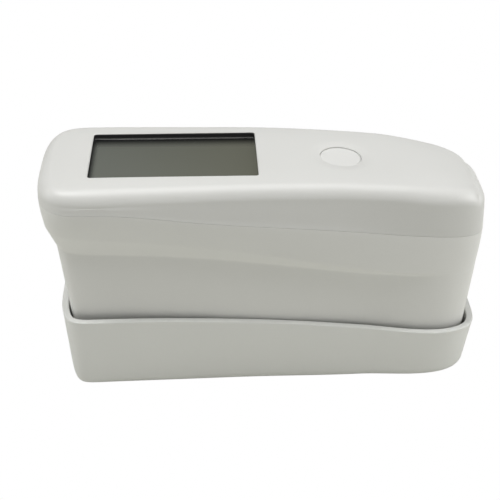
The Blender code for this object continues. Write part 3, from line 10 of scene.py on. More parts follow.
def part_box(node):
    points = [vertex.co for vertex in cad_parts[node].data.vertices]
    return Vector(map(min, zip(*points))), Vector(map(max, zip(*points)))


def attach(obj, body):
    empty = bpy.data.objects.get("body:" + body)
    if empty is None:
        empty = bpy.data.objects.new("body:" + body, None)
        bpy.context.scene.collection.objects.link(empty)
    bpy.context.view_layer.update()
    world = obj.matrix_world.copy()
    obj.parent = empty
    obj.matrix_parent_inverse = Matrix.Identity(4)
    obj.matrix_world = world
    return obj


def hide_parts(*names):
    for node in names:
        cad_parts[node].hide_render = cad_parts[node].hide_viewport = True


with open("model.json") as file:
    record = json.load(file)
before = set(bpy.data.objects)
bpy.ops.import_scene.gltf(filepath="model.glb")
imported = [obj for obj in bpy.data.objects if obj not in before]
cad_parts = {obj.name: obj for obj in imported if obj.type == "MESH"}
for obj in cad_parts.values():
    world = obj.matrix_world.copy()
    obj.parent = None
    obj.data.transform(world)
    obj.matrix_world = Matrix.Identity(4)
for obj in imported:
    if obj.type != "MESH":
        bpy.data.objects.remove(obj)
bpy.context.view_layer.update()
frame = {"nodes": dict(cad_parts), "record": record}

mm = 0.001

# where the CAD put the middle of the case, and what the pieces here are fitted to
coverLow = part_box("top_cover")[0]
plateLow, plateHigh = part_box("base_plate")
caseBottom = plateLow[2]


class Value:
    # wraps a socket, so that an expression on values adds its Math nodes
    def __init__(self, finish, socket):
        self.finish = finish
        self.socket = socket

    def math(self, operation, first, second):
        return self.finish.node("ShaderNodeMath", {"operation": operation}, {0: first, 1: second})

    def __add__(self, other):
        return self.math("ADD", self, other)

    def __radd__(self, other):
        return self.math("ADD", other, self)

    def __sub__(self, other):
        return self.math("SUBTRACT", self, other)

    def __rsub__(self, other):
        return self.math("SUBTRACT", other, self)

    def __mul__(self, other):
        return self.math("MULTIPLY", self, other)

    def __rmul__(self, other):
        return self.math("MULTIPLY", other, self)

    def __truediv__(self, other):
        return self.math("DIVIDE", self, other)


class Finish:
    # one material: its tree, its shader, and one method that adds any other node
    def __init__(self, name, colour, roughness, metallic=0.0):
        self.material = bpy.data.materials.new(name)
        self.material.use_nodes = True
        self.tree = self.material.node_tree
        self.shader = self.tree.nodes["Principled BSDF"]
        self.setShader("Base Color", (*colour, 1.0))
        self.setShader("Roughness", roughness)
        self.setShader("Metallic", metallic)

    def setShader(self, socket, value):
        self.feed(self.shader.inputs[socket], value)

    def feed(self, socket, value):
        if isinstance(value, Value):
            self.tree.links.new(value.socket, socket)
        else:
            socket.default_value = value

    def node(self, kind, settings=None, sockets=None, output=0):
        made = self.tree.nodes.new(kind)
        for name, value in (settings or {}).items():
            setattr(made, name, value)
        for name, value in (sockets or {}).items():
            self.feed(made.inputs[name], value)
        return Value(self, made.outputs[output])

    def place(self):
        return self.node("ShaderNodeTexCoord", output="Object")

    def grain(self, size, detail=2.0, along=(1, 1, 1), seed=0.0):
        # noise whose blobs are about this size, in metres
        sockets = {"Vector": self.place(), "Location": (seed, seed, seed), "Scale": along}
        where = self.node("ShaderNodeMapping", None, sockets)
        return self.node("ShaderNodeTexNoise", None, {"Vector": where, "Scale": 0.5 / size, "Detail": detail})

    def cells(self, size, randomness=1.0):
        sockets = {"Vector": self.place(), "Scale": 1 / size, "Randomness": randomness}
        return self.node("ShaderNodeTexVoronoi", {"feature": "F1"}, sockets)

    def tint(self, amount, dark, light):
        ends = [shade if isinstance(shade, Value) else (*shade, 1.0) for shade in (dark, light)]
        return self.node("ShaderNodeMix", {"data_type": "RGBA"}, {0: amount, 6: ends[0], 7: ends[1]}, output=2)

    def shades(self, amount, colour, ends):
        # the colour times the first share where the amount is 0, times the second where it is 1
        return self.tint(amount, *([c * share for c in colour] for share in ends))

    def vary(self, amount, roughness, spread):
        # roughness drifts about its middle, this far in all
        self.setShader("Roughness", roughness - spread / 2 + amount * spread)

    def soften(self, distance, reach):
        # rises softly from 0 at no distance to 1 at the reach
        sockets = {"Value": distance, "From Max": reach}
        return self.node("ShaderNodeMapRange", {"interpolation_type": "SMOOTHSTEP"}, sockets)

    def bump(self, height, depth):
        self.setShader("Normal", self.node("ShaderNodeBump", None, {"Height": height, "Distance": depth}))


plasticLook = {
    "grain": 0.28 * mm, "grainDetail": 3.0, "grainDepth": 0.016 * mm, "grainShare": 0.55,
    "cloud": 14 * mm, "cloudSeed": 0.3,
    "roughness": 0.4, "roughnessSpread": 0.12, "shades": (0.97, 1.03), "coverDarker": 0.1,
}


def mouldedPlastic(name, colour, look=plasticLook):
    # spark-eroded mould texture: fine pits, with slow drifts of tone as on a real moulding
    finish = Finish(name, colour, look["roughness"])
    pits = finish.grain(look["grain"], look["grainDetail"])
    cloud = finish.grain(look["cloud"], seed=look["cloudSeed"])
    amount = pits * look["grainShare"] + cloud * (1 - look["grainShare"])
    # the colour is scaled darker by the share that the mesh carries: the whole cover a little, and the wall of
    # the display opening far more, as painted shade
    cover = finish.node("ShaderNodeAttribute", {"attribute_name": "coverToneAndWallShade"}, output=2)
    sockets = {0: finish.shades(amount, colour, look["shades"]), "Scale": 1 - cover * look["coverDarker"]}
    finish.setShader("Base Color", finish.node("ShaderNodeVectorMath", {"operation": "SCALE"}, sockets))
    finish.vary(amount, look["roughness"], look["roughnessSpread"])
    finish.bump(pits, look["grainDepth"])
    return finish.material


smoothLook = {
    "grain": 0.6 * mm, "detail": 2.0, "depth": 0.004 * mm, "shades": (0.92, 1.08), "roughnessShare": 0.3,
}
anodisedLook = {
    "grain": 0.5 * mm, "detail": 4.0, "depth": 0.01 * mm, "shades": (0.8, 1.2), "roughnessShare": 0.4,
}


def pitted(name, colour, roughness, look=smoothLook, metallic=0.0):
    # a plain surface with fine pits that vary its colour and roughness a little
    finish = Finish(name, colour, roughness, metallic)
    pits = finish.grain(look["grain"], look["detail"])
    finish.setShader("Base Color", finish.shades(pits, colour, look["shades"]))
    finish.vary(pits, roughness, roughness * look["roughnessShare"])
    finish.bump(pits, look["depth"])
    return finish.material


warmLook = {"along": 0.9, "drift": 0.2, "driftSize": 9 * mm}


def warmedToNose(finish, look, node):
    # the display's colour turns warmer from its tail end to its nose end, with slow drifts
    low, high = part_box(node)
    forward = finish.node("ShaderNodeSeparateXYZ", None, {"Vector": finish.place()})
    drift = finish.grain(warmLook["driftSize"])
    amount = (forward - low[0]) / (high[0] - low[0]) * warmLook["along"] + drift * warmLook["drift"]
    return finish.tint(amount, look["tailColour"], look["noseColour"]), drift


windowLook = {
    "tailColour": (0.158, 0.168, 0.15), "noseColour": (0.146, 0.148, 0.116),
    # painted shadow under the far and tail edges: its colour, its least level, how wide it is full and how far
    # it fades
    "shadeColour": (0.004, 0.004, 0.005), "shadeLevel": 0.02,
    "farShadowFull": 4.6 * mm, "farShade": 7 * mm, "tailShadowFull": 1.8 * mm, "tailShade": 3 * mm,
    "roughness": 0.077, "roughnessSpread": 0.07, "wipe": 5 * mm, "wipeDetail": 3.0, "wipeAlong": (1, 0.15, 1),
    "alpha": 0.86, "alphaSpread": 0.015, "coat": 0.2,
}


def windowAcrylic(look=windowLook):
    # tinted acrylic over the liquid crystal: painted shadow darkens it softly under its far and tail edges,
    # where the opening's walls shade the display; it turns warmer to the nose, and carries faint wiping marks
    # in its gloss
    finish = Finish("windowAcrylic", look["tailColour"], look["roughness"])
    low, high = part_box("display_window")
    place = finish.place()
    forward, across = (finish.node("ShaderNodeSeparateXYZ", None, {"Vector": place}, output=n) for n in (0, 1))
    # painted shadow that the opening's far and tail walls cast on the display
    far = finish.soften(high[1] - look["farShadowFull"] - across, look["farShade"])
    near = finish.soften(forward - (low[0] + look["tailShadowFull"]), look["tailShade"])
    light = look["shadeLevel"] + (1 - look["shadeLevel"]) * far * near
    warm, _ = warmedToNose(finish, look, "display_window")
    finish.setShader("Base Color", finish.tint(light, look["shadeColour"], warm))
    wipes = finish.grain(look["wipe"], look["wipeDetail"], along=look["wipeAlong"])
    finish.vary(wipes, look["roughness"], look["roughnessSpread"])
    finish.setShader("Alpha", look["alpha"] + wipes * look["alphaSpread"])
    finish.setShader("Coat Weight", look["coat"])
    return finish.material


lcdLook = {
    "tailColour": (0.19, 0.20, 0.185), "noseColour": (0.185, 0.185, 0.15),
    "roughness": 0.3, "roughnessSpread": 0.12,
    "dotPitch": 0.42 * mm, "dotStrength": 0.12, "dotShade": (0.6, 0.6, 0.6),
}


def lcdGlass(look=lcdLook):
    # unlit liquid-crystal panel: grey-green, warmer to the nose, with its faint matrix of dots
    finish = Finish("lcdGlass", look["tailColour"], look["roughness"])
    warm, drift = warmedToNose(finish, look, "lcd_panel")
    dots = finish.cells(look["dotPitch"], randomness=0.0)
    sockets = {0: dots * look["dotStrength"], 6: warm, 7: (*look["dotShade"], 1.0)}
    mix = {"data_type": "RGBA", "blend_type": "MULTIPLY"}
    finish.setShader("Base Color", finish.node("ShaderNodeMix", mix, sockets, output=2))
    finish.vary(drift, look["roughness"], look["roughnessSpread"])
    return finish.material


steelLook = {
    "colour": (0.6, 0.6, 0.61), "shades": (0.85, 1.1), "roughness": 0.3, "roughnessSpread": 0.2,
    "line": 0.2 * mm, "lineAlong": (0.1, 0.1, 1),
}


def turnedSteel(look=steelLook):
    # drawn or turned steel: fine lines round the piece
    finish = Finish("platedSteel", look["colour"], look["roughness"], 1.0)
    lines = finish.grain(look["line"], along=look["lineAlong"])
    finish.setShader("Base Color", finish.shades(lines, look["colour"], look["shades"]))
    finish.vary(lines, look["roughness"], look["roughnessSpread"])
    return finish.material


boardLook = {
    "mask": (0.03, 0.2, 0.08), "darkMask": (0.025, 0.17, 0.07), "track": (0.08, 0.33, 0.15),
    "trackPitch": 6 * mm, "trackWidth": 0.03, "trackShift": 0.37,
    "weave": 0.5 * mm, "weaveDepth": 0.01 * mm, "roughness": 0.355, "roughnessSpread": 0.15,
}


def circuitBoard(look=boardLook):
    # solder mask over copper tracks that run along and across
    finish = Finish("circuitBoard", look["mask"], look["roughness"])
    colours = {"Color1": look["mask"], "Color2": look["darkMask"], "Mortar": look["track"]}
    tracks = finish.node("ShaderNodeTexBrick", {"offset": look["trackShift"]}, {
        "Vector": finish.place(), "Scale": 1 / look["trackPitch"], "Mortar Size": look["trackWidth"],
        **{name: (*colour, 1.0) for name, colour in colours.items()},
    })
    finish.setShader("Base Color", tracks)
    weave = finish.grain(look["weave"])
    finish.vary(weave, look["roughness"], look["roughnessSpread"])
    finish.bump(weave, look["weaveDepth"])
    return finish.material


foamLook = {
    "colour": (0.2, 0.2, 0.21), "shades": (1.1, 0.6), "roughness": 0.95,
    "cell": 0.5 * mm, "depth": 0.1 * mm,
}


def softFoam(look=foamLook):
    # closed cells, darker and lower towards their edges
    finish = Finish("padFoam", look["colour"], look["roughness"])
    cells = finish.cells(look["cell"])
    finish.setShader("Base Color", finish.shades(cells, look["colour"], look["shades"]))
    finish.bump(1 - cells, look["depth"])
    return finish.material


finishes = {
    "case_plastic": mouldedPlastic("casePlastic", (0.735, 0.735, 0.708)),
    "base_plastic": mouldedPlastic("basePlastic", (0.735, 0.74, 0.712)),
    "button_plastic": mouldedPlastic("buttonPlastic", (0.7, 0.7, 0.677)),
    "window_glass": windowAcrylic(),
    "display_panel": lcdGlass(),
    "pale_plastic": pitted("palePlastic", (0.8, 0.8, 0.78), 0.45),
    "black_plastic": pitted("blackPlastic", (0.022, 0.022, 0.022), 0.5),
    "strip_rubber": pitted("stripRubber", (0.12, 0.12, 0.13), 0.8),
    "pad_foam": softFoam(),
    "standard_glass": pitted("standardGlass", (0.008, 0.008, 0.01), 0.03),
    "black_aluminium": pitted("blackAluminium", (0.04, 0.04, 0.045), 0.4, anodisedLook, 0.8),
    "lens_glass": pitted("lensGlass", (0.7, 0.76, 0.78), 0.05),
    "board": circuitBoard(),
    "cell_sleeve": pitted("cellSleeve", (0.25, 0.28, 0.31), 0.3),
    "steel": turnedSteel(),
}
print("finishes made:", len(finishes))


# the case's own surfaces follow the same rules as the CAD model; three values in brackets
# are for the sides, the tail and the nose, and pairs are shares of the length with heights
caseShape = {
    "length": 154.6 * mm, "halfWidth": 27.5 * mm, "widestFromTail": 20.6 * mm, "noseNarrowing": 2.8 * mm,
    "noseFullness": 4.5, "tailFullness": 3.4,
    "edgeHeight": 73.6 * mm, "topArch": 1.6 * mm,
    "topFall": 9.5 * mm, "fallPower": 1.75, "fallStart": -10.2 * mm, "fallToNose": 4.2 * mm,
    "topRadius": (4.5 * mm, 4.5 * mm, 3.9 * mm), "edgeDrop": 2.0 * mm, "dropStretch": (42 * mm, 60 * mm),
    "parting": ((0, 66.6 * mm), (0.17, 66.3 * mm), (0.37, 62.6 * mm), (0.688, 57.6 * mm), (1, 49.9 * mm)),
    "facet": (
        (0.065, 56.4 * mm), (0.272, 53.8 * mm), (0.499, 48.5 * mm),
        (0.631, 44.2 * mm), (0.806, 38.9 * mm), (0.919, 36.6 * mm),
    ),
    "facetHeight": (
        (0, 8.4 * mm), (0.2, 7.6 * mm), (0.5, 5.6 * mm), (0.63, 4.4 * mm),
        (0.72, 3.7 * mm), (0.8, 2.3 * mm), (0.9, 1.4 * mm),
    ),
    "facetDepth": (3.9 * mm, 3.5 * mm, 3.5 * mm), "facetFade": (0.72, 0.94),
    "waistTail": 2.5 * mm, "waistNose": 1.1 * mm, "waistFade": (0.133, 0.723), "bulge": 1.5,
    "coverLean": (0.12, 0.034, 0.05), "leanFade": (0.66, 0.87), "housingLean": (0.04, 0.109, 0.088),
    "footRadius": 0.8 * mm, "wall": 2.2 * mm, "floor": 3.2 * mm,
    "lipRise": 1.5 * mm, "lipPlay": 0.3 * mm, "lipRoom": 2 * mm,
    "facetSoftness": 0.55 * mm, "softRun": 2 * mm, "seamHalf": 0.035 * mm, "seamRound": 0.07 * mm,
    "sideStep": 1.6 * mm, "turnStep": math.radians(1.6), "cornerShare": 0.95, "crown": 56,
}
nose = caseShape["length"] / 2
tail = -caseShape["length"] / 2
widestX = tail + caseShape["widestFromTail"]
shiftX = coverLow[0] - tail


def smoothCurve(stations, x):
    # a cubic curve through the stations, straight beyond them
    places, heights = np.array(stations).T
    slopes = np.gradient(heights, places)
    inside = np.clip(x, places[0], places[-1])
    spot = np.clip(np.searchsorted(places, inside) - 1, 0, len(places) - 2)
    width = places[spot + 1] - places[spot]
    t = (inside - places[spot]) / width
    start = (1 + 2 * t) * (1 - t) ** 2 * heights[spot] + t * (1 - t) ** 2 * width * slopes[spot]
    end = t**2 * (3 - 2 * t) * heights[spot + 1] - t**2 * (1 - t) * width * slopes[spot + 1]
    return start + end + (x - inside) * np.where(x < places[0], slopes[0], slopes[-1])


def caseOutline(shape=caseShape):
    # points are spread by length along the sides and by turn round the corners
    angle = np.linspace(0, math.pi, 40001)
    cosine = np.cos(angle)
    reach = np.where(cosine > 0, nose - widestX, widestX - tail)
    fullness = np.where(cosine > 0, shape["noseFullness"], shape["tailFullness"])
    x = widestX + reach * np.sign(cosine) * np.abs(cosine) ** (2 / fullness)
    narrowing = shape["noseNarrowing"] * (x - widestX) / (nose - widestX)
    y = (shape["halfWidth"] - narrowing) * np.abs(np.sin(angle)) ** (2 / fullness)
    y[-1] = 0
    steps = np.hypot(np.diff(x), np.diff(y))
    heading = np.unwrap(np.arctan2(np.diff(y), np.diff(x)))
    turn = np.abs(np.append(np.diff(heading), 0))
    measure = np.concatenate([[0], np.cumsum(steps / shape["sideStep"] + turn / shape["turnStep"])])
    spots = np.linspace(0, measure[-1], int(round(measure[-1])) + 1)
    nearX = np.interp(spots, measure, x)
    nearY = np.interp(spots, measure, y)
    half = np.stack([nearX, nearY], 1)
    points = np.concatenate([half, half[-2:0:-1] * (1, -1)])
    onwards = np.roll(points, -1, 0) - np.roll(points, 1, 0)
    onwards /= np.linalg.norm(onwards, axis=1)[:, None]
    return points, np.stack([onwards[:, 1], -onwards[:, 0]], 1)


plan, outward = caseOutline()
planX = plan[:, 0]
spans = np.linalg.norm(np.roll(plan, -1, 0) - plan, axis=1)
turns = np.linalg.norm(np.roll(outward, -1, 0) - outward, axis=1)
# an inset stops short of where the points of a corner would cross
cornerRoom = caseShape["cornerShare"] * np.minimum(spans / turns, np.roll(spans / turns, 1))


def loopAt(outset, height):
    # the plan outline at a height, moved outwards or inwards
    flat = plan + outward * np.maximum(outset, -cornerRoom)[:, None]
    return np.column_stack([flat, np.broadcast_to(height, planX.shape)])


def bySide(side, tailEnd, noseEnd):
    # a value for each plan point, by the way that the wall faces there
    end = np.where(outward[:, 0] < 0, tailEnd, noseEnd)
    return side * outward[:, 1] ** 2 + end * outward[:, 0] ** 2


def plainTop(x, y, shape=caseShape):
    # the top skin: level at the tail, arched across, and falling faster and faster to the nose
    run = np.clip((x - shape["fallStart"]) / (nose - shape["fallToNose"] - shape["fallStart"]), 0, 0.999)
    fall = shape["topFall"] * (1 - np.sqrt(1 - run ** shape["fallPower"]))
    arch = shape["topArch"] * (1 - np.abs(y / shape["halfWidth"]) ** 4) * (1 - np.abs(x / nose) ** 8)
    # towards the nose the long edges drop below the middle
    start, end = shape["dropStretch"]
    share = np.clip((x - start) / (end - start), 0, 1)
    drop = shape["edgeDrop"] * share**2 * (3 - 2 * share) * np.abs(y / shape["halfWidth"]) ** 3
    return caseBottom + shape["edgeHeight"] - fall + arch - drop


buttonPlace = {
    "x": 26.7 * mm, "radius": 7.1 * mm, "gap": 0.16 * mm, "holeEdge": 0.14 * mm, "capEdge": 0.32 * mm,
    "capRise": 0.25 * mm, "capHollow": 0.12 * mm, "flangeRadius": 8.2 * mm, "flange": (-3.5 * mm, -2.7 * mm),
    "wellRadius": 8.6 * mm, "wellTop": -2.4 * mm, "wellSides": 64, "cut": (-9 * mm, 4 * mm),
    "flareShare": 1.5, "flareRise": 0.5 * mm,
    "dishRadius": 10.2 * mm, "dishDepth": 1.1 * mm, "dishBlend": 0.16 * mm, "sides": 128,
}
dishBall = (buttonPlace["dishRadius"] ** 2 + buttonPlace["dishDepth"] ** 2) / (2 * buttonPlace["dishDepth"])
slopeStep = 2 * mm
buttonRise = plainTop(buttonPlace["x"] - slopeStep, 0) - plainTop(buttonPlace["x"] + slopeStep, 0)
buttonTilt = math.atan2(buttonRise, 2 * slopeStep)
buttonSkinZ = float(plainTop(buttonPlace["x"], 0))
buttonFrame = Matrix.Translation((buttonPlace["x"], 0, buttonSkinZ)) @ Matrix.Rotation(buttonTilt, 4, "Y")


def topHeight(x, y, dish=buttonPlace):
    # the plain top, less the finger dish, whose rim blends into the skin
    away = np.hypot(x - dish["x"], y)
    depth = dish["dishDepth"] - (dishBall - np.sqrt(np.maximum(dishBall**2 - away**2, 0)))
    blended = 0.5 * (depth + np.sqrt(depth**2 + dish["dishBlend"] ** 2))
    # the blend never quite ends, so a little is taken off, and the skin is plain beyond the rim
    excess = dish["dishBlend"] ** 2 / (12 * dish["dishDepth"])
    sunk = np.where(away < 2 * dish["dishRadius"], blended - excess, 0)
    return plainTop(x, y) - np.maximum(sunk, 0)


def fade(stretch):
    # 1 up to the start of a stretch of the length, 0 from its end
    start, end = stretch
    return np.clip((end - along) / (end - start), 0, 1)


along = (planX - tail) / caseShape["length"]
parting = caseBottom + smoothCurve(caseShape["parting"], along)
facetTop = caseBottom + smoothCurve(caseShape["facet"], along)
facetFoot = facetTop - np.interp(along, *zip(*caseShape["facetHeight"]))
topRadius = bySide(*caseShape["topRadius"])
waistExtra = (caseShape["waistTail"] - caseShape["waistNose"]) * outward[:, 1] ** 2
waist = caseShape["waistNose"] + waistExtra * fade(caseShape["waistFade"])
facetShare = fade(caseShape["facetFade"])
facetIn = bySide(*caseShape["facetDepth"]) * facetShare**2 * (3 - 2 * facetShare)
housingLean = bySide(*caseShape["housingLean"])


def wallInset(height):
    # inset of the drafted wall under the facet
    return waist + facetIn + housingLean * (facetFoot - height)


def plainInset(height):
    # inset of the lower housing at any height: drafted wall, facet, then waist
    facet = waist + facetIn * np.clip((facetTop - height) / (facetTop - facetFoot), 0, 1)
    bulge = waist * np.clip((parting - height) / (parting - facetTop), 0, 1) ** caseShape["bulge"]
    return np.where(height < facetFoot, wallInset(height), np.where(height < facetTop, facet, bulge))


def softInset(height):
    # the same wall with its edges rounded, as the mould has them
    reach = caseShape["facetSoftness"] * np.clip((parting - height) / caseShape["softRun"], 0, 1)
    samples = np.linspace(-1, 1, 13)
    return sum(plainInset(height + reach * share) for share in samples) / len(samples)


def meshFrom(name, points, faces):
    mesh = bpy.data.meshes.new(name)
    mesh.from_pydata([tuple(p) for p in points], [], [list(map(int, f)) for f in faces])
    mesh.update()
    return mesh


def bands(loops):
    # the faces between loops of points that have one count and follow each other
    count = len(loops[0])
    faces = []
    for low in range(0, (len(loops) - 1) * count, count):
        high = low + count
        for step in range(count):
            following = (step + 1) % count
            faces.append([low + step, low + following, high + following, high + step])
    return faces


def lofted(name, loops, crown=1):
    # a skin through the loops with strips across both ends; split strips follow the top skin
    count = len(plan)
    points = [tuple(p) for loop in loops for p in loop]
    faces = bands(loops)

    def strips(start, splits):
        rows = [[start]]
        for step in range(1, count // 2):
            here, there = start + step, start + count - step
            a, b = np.array(points[here]), np.array(points[there])
            row = [here]
            for split in range(1, splits):
                spot = a + (b - a) * split / splits
                skin = topHeight(spot[0], spot[1]) - topHeight(a[0], a[1])
                row.append(len(points))
                points.append((spot[0], spot[1], a[2] + skin))
            rows.append(row + [there])
        rows.append([start + count // 2])
        found = []
        for first, second in zip(rows, rows[1:]):
            for split in range(splits):
                corners = [
                    first[min(split, len(first) - 1)], second[min(split, len(second) - 1)],
                    second[min(split + 1, len(second) - 1)], first[min(split + 1, len(first) - 1)],
                ]
                found.append(list(dict.fromkeys(corners)))
        return found

    faces += [face[::-1] for face in strips(0, 1)]
    faces += strips((len(loops) - 1) * count, crown)
    return meshFrom(name, points, faces)


def turned(name, profile, segments):
    # a solid turned about Z; the profile runs up its outer side, from axis to axis
    points, rows = [], []
    for radius, height in profile:
        if radius == 0:
            rows.append([len(points)] * segments)
            points.append((0, 0, height))
            continue
        rows.append(range(len(points), len(points) + segments))
        for step in range(segments):
            angle = 2 * math.pi * step / segments
            points.append((radius * math.cos(angle), radius * math.sin(angle), height))
    faces = []
    for lower, upper in zip(rows, rows[1:]):
        for step in range(segments):
            following = (step + 1) % segments
            faces.append(list(dict.fromkeys([lower[step], lower[following], upper[following], upper[step]])))
    return meshFrom(name, points, faces)


def roundedBox(name, low, high, corner=0.0, edge=0.0, steps=4):
    # upright edges get the corner radius, the others the edge radius
    bm = bmesh.new()
    bmesh.ops.create_cube(bm, size=1.0)
    size = [h - l for l, h in zip(low, high)]
    bmesh.ops.scale(bm, vec=size, verts=bm.verts)
    if corner:
        upright = [e for e in bm.edges if abs(e.verts[0].co.z - e.verts[1].co.z) > size[2] / 2]
        bmesh.ops.bevel(bm, geom=upright, offset=corner, segments=steps + 2, affect="EDGES", profile=0.5)
    if edge:
        rest = [e for e in bm.edges if e.calc_face_angle(0) > math.radians(50)]
        bmesh.ops.bevel(bm, geom=rest, offset=edge, segments=steps, affect="EDGES", profile=0.5)
    bmesh.ops.translate(bm, vec=[(h + l) / 2 for l, h in zip(low, high)], verts=bm.verts)
    mesh = bpy.data.meshes.new(name)
    bm.to_mesh(mesh)
    bm.free()
    return mesh


def piece(name, mesh, slot, matrix=None, inCase=True):
    # puts a mesh in the scene with its place in its mesh, in the row frame
    if matrix is not None:
        mesh.transform(matrix)
    if inCase:
        mesh.transform(Matrix.Translation((shiftX, 0, 0)))
    mesh.materials.clear()
    if slot:
        mesh.materials.append(finishes[slot])
    made = bpy.data.objects.new(name, mesh)
    bpy.context.scene.collection.objects.link(made)
    return made


def carve(target, operation, mesh, matrix=None, inCase=True):
    # joins a mesh to the target or cuts it away, and leaves a plain mesh behind
    other = piece("carving", mesh, None, matrix, inCase)
    modifier = target.modifiers.new("carve", "BOOLEAN")
    modifier.operation = operation
    modifier.solver = "EXACT"
    modifier.object = other
    flatten(target)
    bpy.data.objects.remove(other, do_unlink=True)


def flatten(target):
    # turns the object's evaluated geometry into its plain mesh
    depsgraph = bpy.context.evaluated_depsgraph_get()
    depsgraph.update()
    fresh = bpy.data.meshes.new_from_object(target.evaluated_get(depsgraph), depsgraph=depsgraph)
    target.modifiers.clear()
    target.data = fresh


def shade(target, degrees=30):
    target.data.shade_smooth()
    target.data.set_sharp_from_angle(angle=math.radians(degrees))


def settle(target, body, slot, *nodes):
    # the last step of each piece: what it stands for, what it moves with, what it is made of
    shade(target)
    if not target.data.materials or target.data.materials[0] is None:
        target.data.materials.clear()
        target.data.materials.append(finishes[slot])
    if nodes:
        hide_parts(*nodes)
    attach(target, body)
    return target


displayShape = {
    "start": -59.6 * mm, "side": 0.4 * mm, "length": 57 * mm, "width": 32.8 * mm, "corner": 1.0 * mm,
    "lipRound": 0.3 * mm, "flareShare": 1.6, "flareRise": 0.35 * mm, "cut": (-12 * mm, 4 * mm),
    "pocketPlay": 0.3 * mm, "pocketDepth": 8 * mm, "pocketRise": 0.05 * mm,
    # painted shade on the opening's wall below the lip: how dark, how far below the lip, how near its edges
    "wallShadeTone": 9.2, "wallShadeShare": 0.9, "wallShadeNear": 0.05 * mm,
    "windowCorner": 1 * mm, "windowEdge": 0.15 * mm,
}
displayMiddle = displayShape["start"] + displayShape["length"] / 2
windowLow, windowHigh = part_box("display_window")


def coverLoops(depth, foot, turnAngles, wallSteps):
    # loops up the cover's wall from its foot and round its top edge, this deep in the wall
    side, tailEnd, noseEnd = caseShape["coverLean"]
    lean = bySide(side * fade(caseShape["leanFade"]), tailEnd, noseEnd)
    radius = topRadius - depth
    inset = np.zeros(len(plan))
    for _ in range(5):
        edge = loopAt(-(inset + topRadius), 0)
        bend = plainTop(edge[:, 0], edge[:, 1]) - topRadius
        inset = lean * (bend - parting)
    loops = []
    for share in np.linspace(0, 1, wallSteps, endpoint=False):
        height = foot + (bend - foot) * share
        loops.append(loopAt(-depth - lean * (height - parting), height))
    for angle in np.radians(turnAngles):
        loop = loopAt(-(inset + depth + radius * (1 - math.cos(angle))), 0)
        loop[:, 2] = plainTop(loop[:, 0], loop[:, 1]) - depth - radius * (1 - math.sin(angle))
        loops.append(loop)
    return loops


def roundedRectangle(length, width, corner, steps=6):
    points = []
    for middleX, middleY, start in ((1, 1, 0), (-1, 1, 90), (-1, -1, 180), (1, -1, 270)):
        for step in range(steps + 1):
            angle = math.radians(start + 90 * step / steps)
            points.append((
                middleX * (length / 2 - corner) + corner * math.cos(angle),
                middleY * (width / 2 - corner) + corner * math.sin(angle),
            ))
    return points


def openingCutter(shape=displayShape):
    # the display opening with a softly rounded lip that follows the top skin
    bend = shape["lipRound"]
    cutLow, cutHigh = shape["cut"]
    levels = [(0, cutLow)]
    for angle in np.radians((0, 20, 40, 58, 74)):
        levels.append((bend * (1 - math.cos(angle)), -bend * (1 - math.sin(angle))))
    flare = bend * shape["flareShare"]
    levels += [(flare, shape["flareRise"]), (flare, cutHigh)]
    rows = []
    for outset, drop in levels:
        length, width = shape["length"] + 2 * outset, shape["width"] + 2 * outset
        row = []
        for x, y in roundedRectangle(length, width, shape["corner"] + outset):
            row.append((x + displayMiddle, y + shape["side"], float(plainTop(x + displayMiddle, y)) + drop))
        rows.append(row)
    count = len(rows[0])
    points = [p for row in rows for p in row]
    ends = [list(range(count))[::-1], list(range(len(points) - count, len(points)))]
    return meshFrom("openingCutter", points, ends + bands(rows))


def buttonHoleCutter(shape=buttonPlace):
    # the button's hole, whose edge is rounded where it meets the dish
    radius = shape["radius"] + shape["gap"]
    edge = shape["holeEdge"]
    cutLow, cutHigh = shape["cut"]
    skin = dishBall - math.sqrt(dishBall**2 - radius**2) - shape["dishDepth"]
    profile = [(0, cutLow), (radius, cutLow)]
    for angle in np.radians((0, 25, 50, 70)):
        profile.append((radius + edge * (1 - math.cos(angle)), skin - edge * (1 - math.sin(angle))))
    flare = radius + edge * shape["flareShare"]
    profile += [(flare, skin + shape["flareRise"]), (flare, cutHigh), (0, cutHigh)]
    return turned("buttonHoleCutter", profile, shape["sides"])


def shadeOpeningWall(cover, shape=displayShape):
    # each point carries its share of the cover's darker tone: a high one paints shade on the wall of the
    # display opening below its rounded lip, and all other points have 1
    points = np.empty(len(cover.data.vertices) * 3, dtype=np.float32)
    cover.data.vertices.foreach_get("co", points)
    x, y, z = points.reshape(-1, 3).T
    x = x - shiftX
    y = y - shape["side"]
    shadedWall = np.abs(x - displayMiddle) < shape["length"] / 2 + shape["wallShadeNear"]
    shadedWall &= np.abs(y) < shape["width"] / 2 + shape["wallShadeNear"]
    shadedWall &= z < plainTop(x, y) - shape["wallShadeShare"] * shape["lipRound"]
    tone = cover.data.attributes.new("coverToneAndWallShade", "FLOAT", "POINT")
    tone.data.foreach_set("value", np.where(shadedWall, shape["wallShadeTone"], 1.0).astype(np.float32))


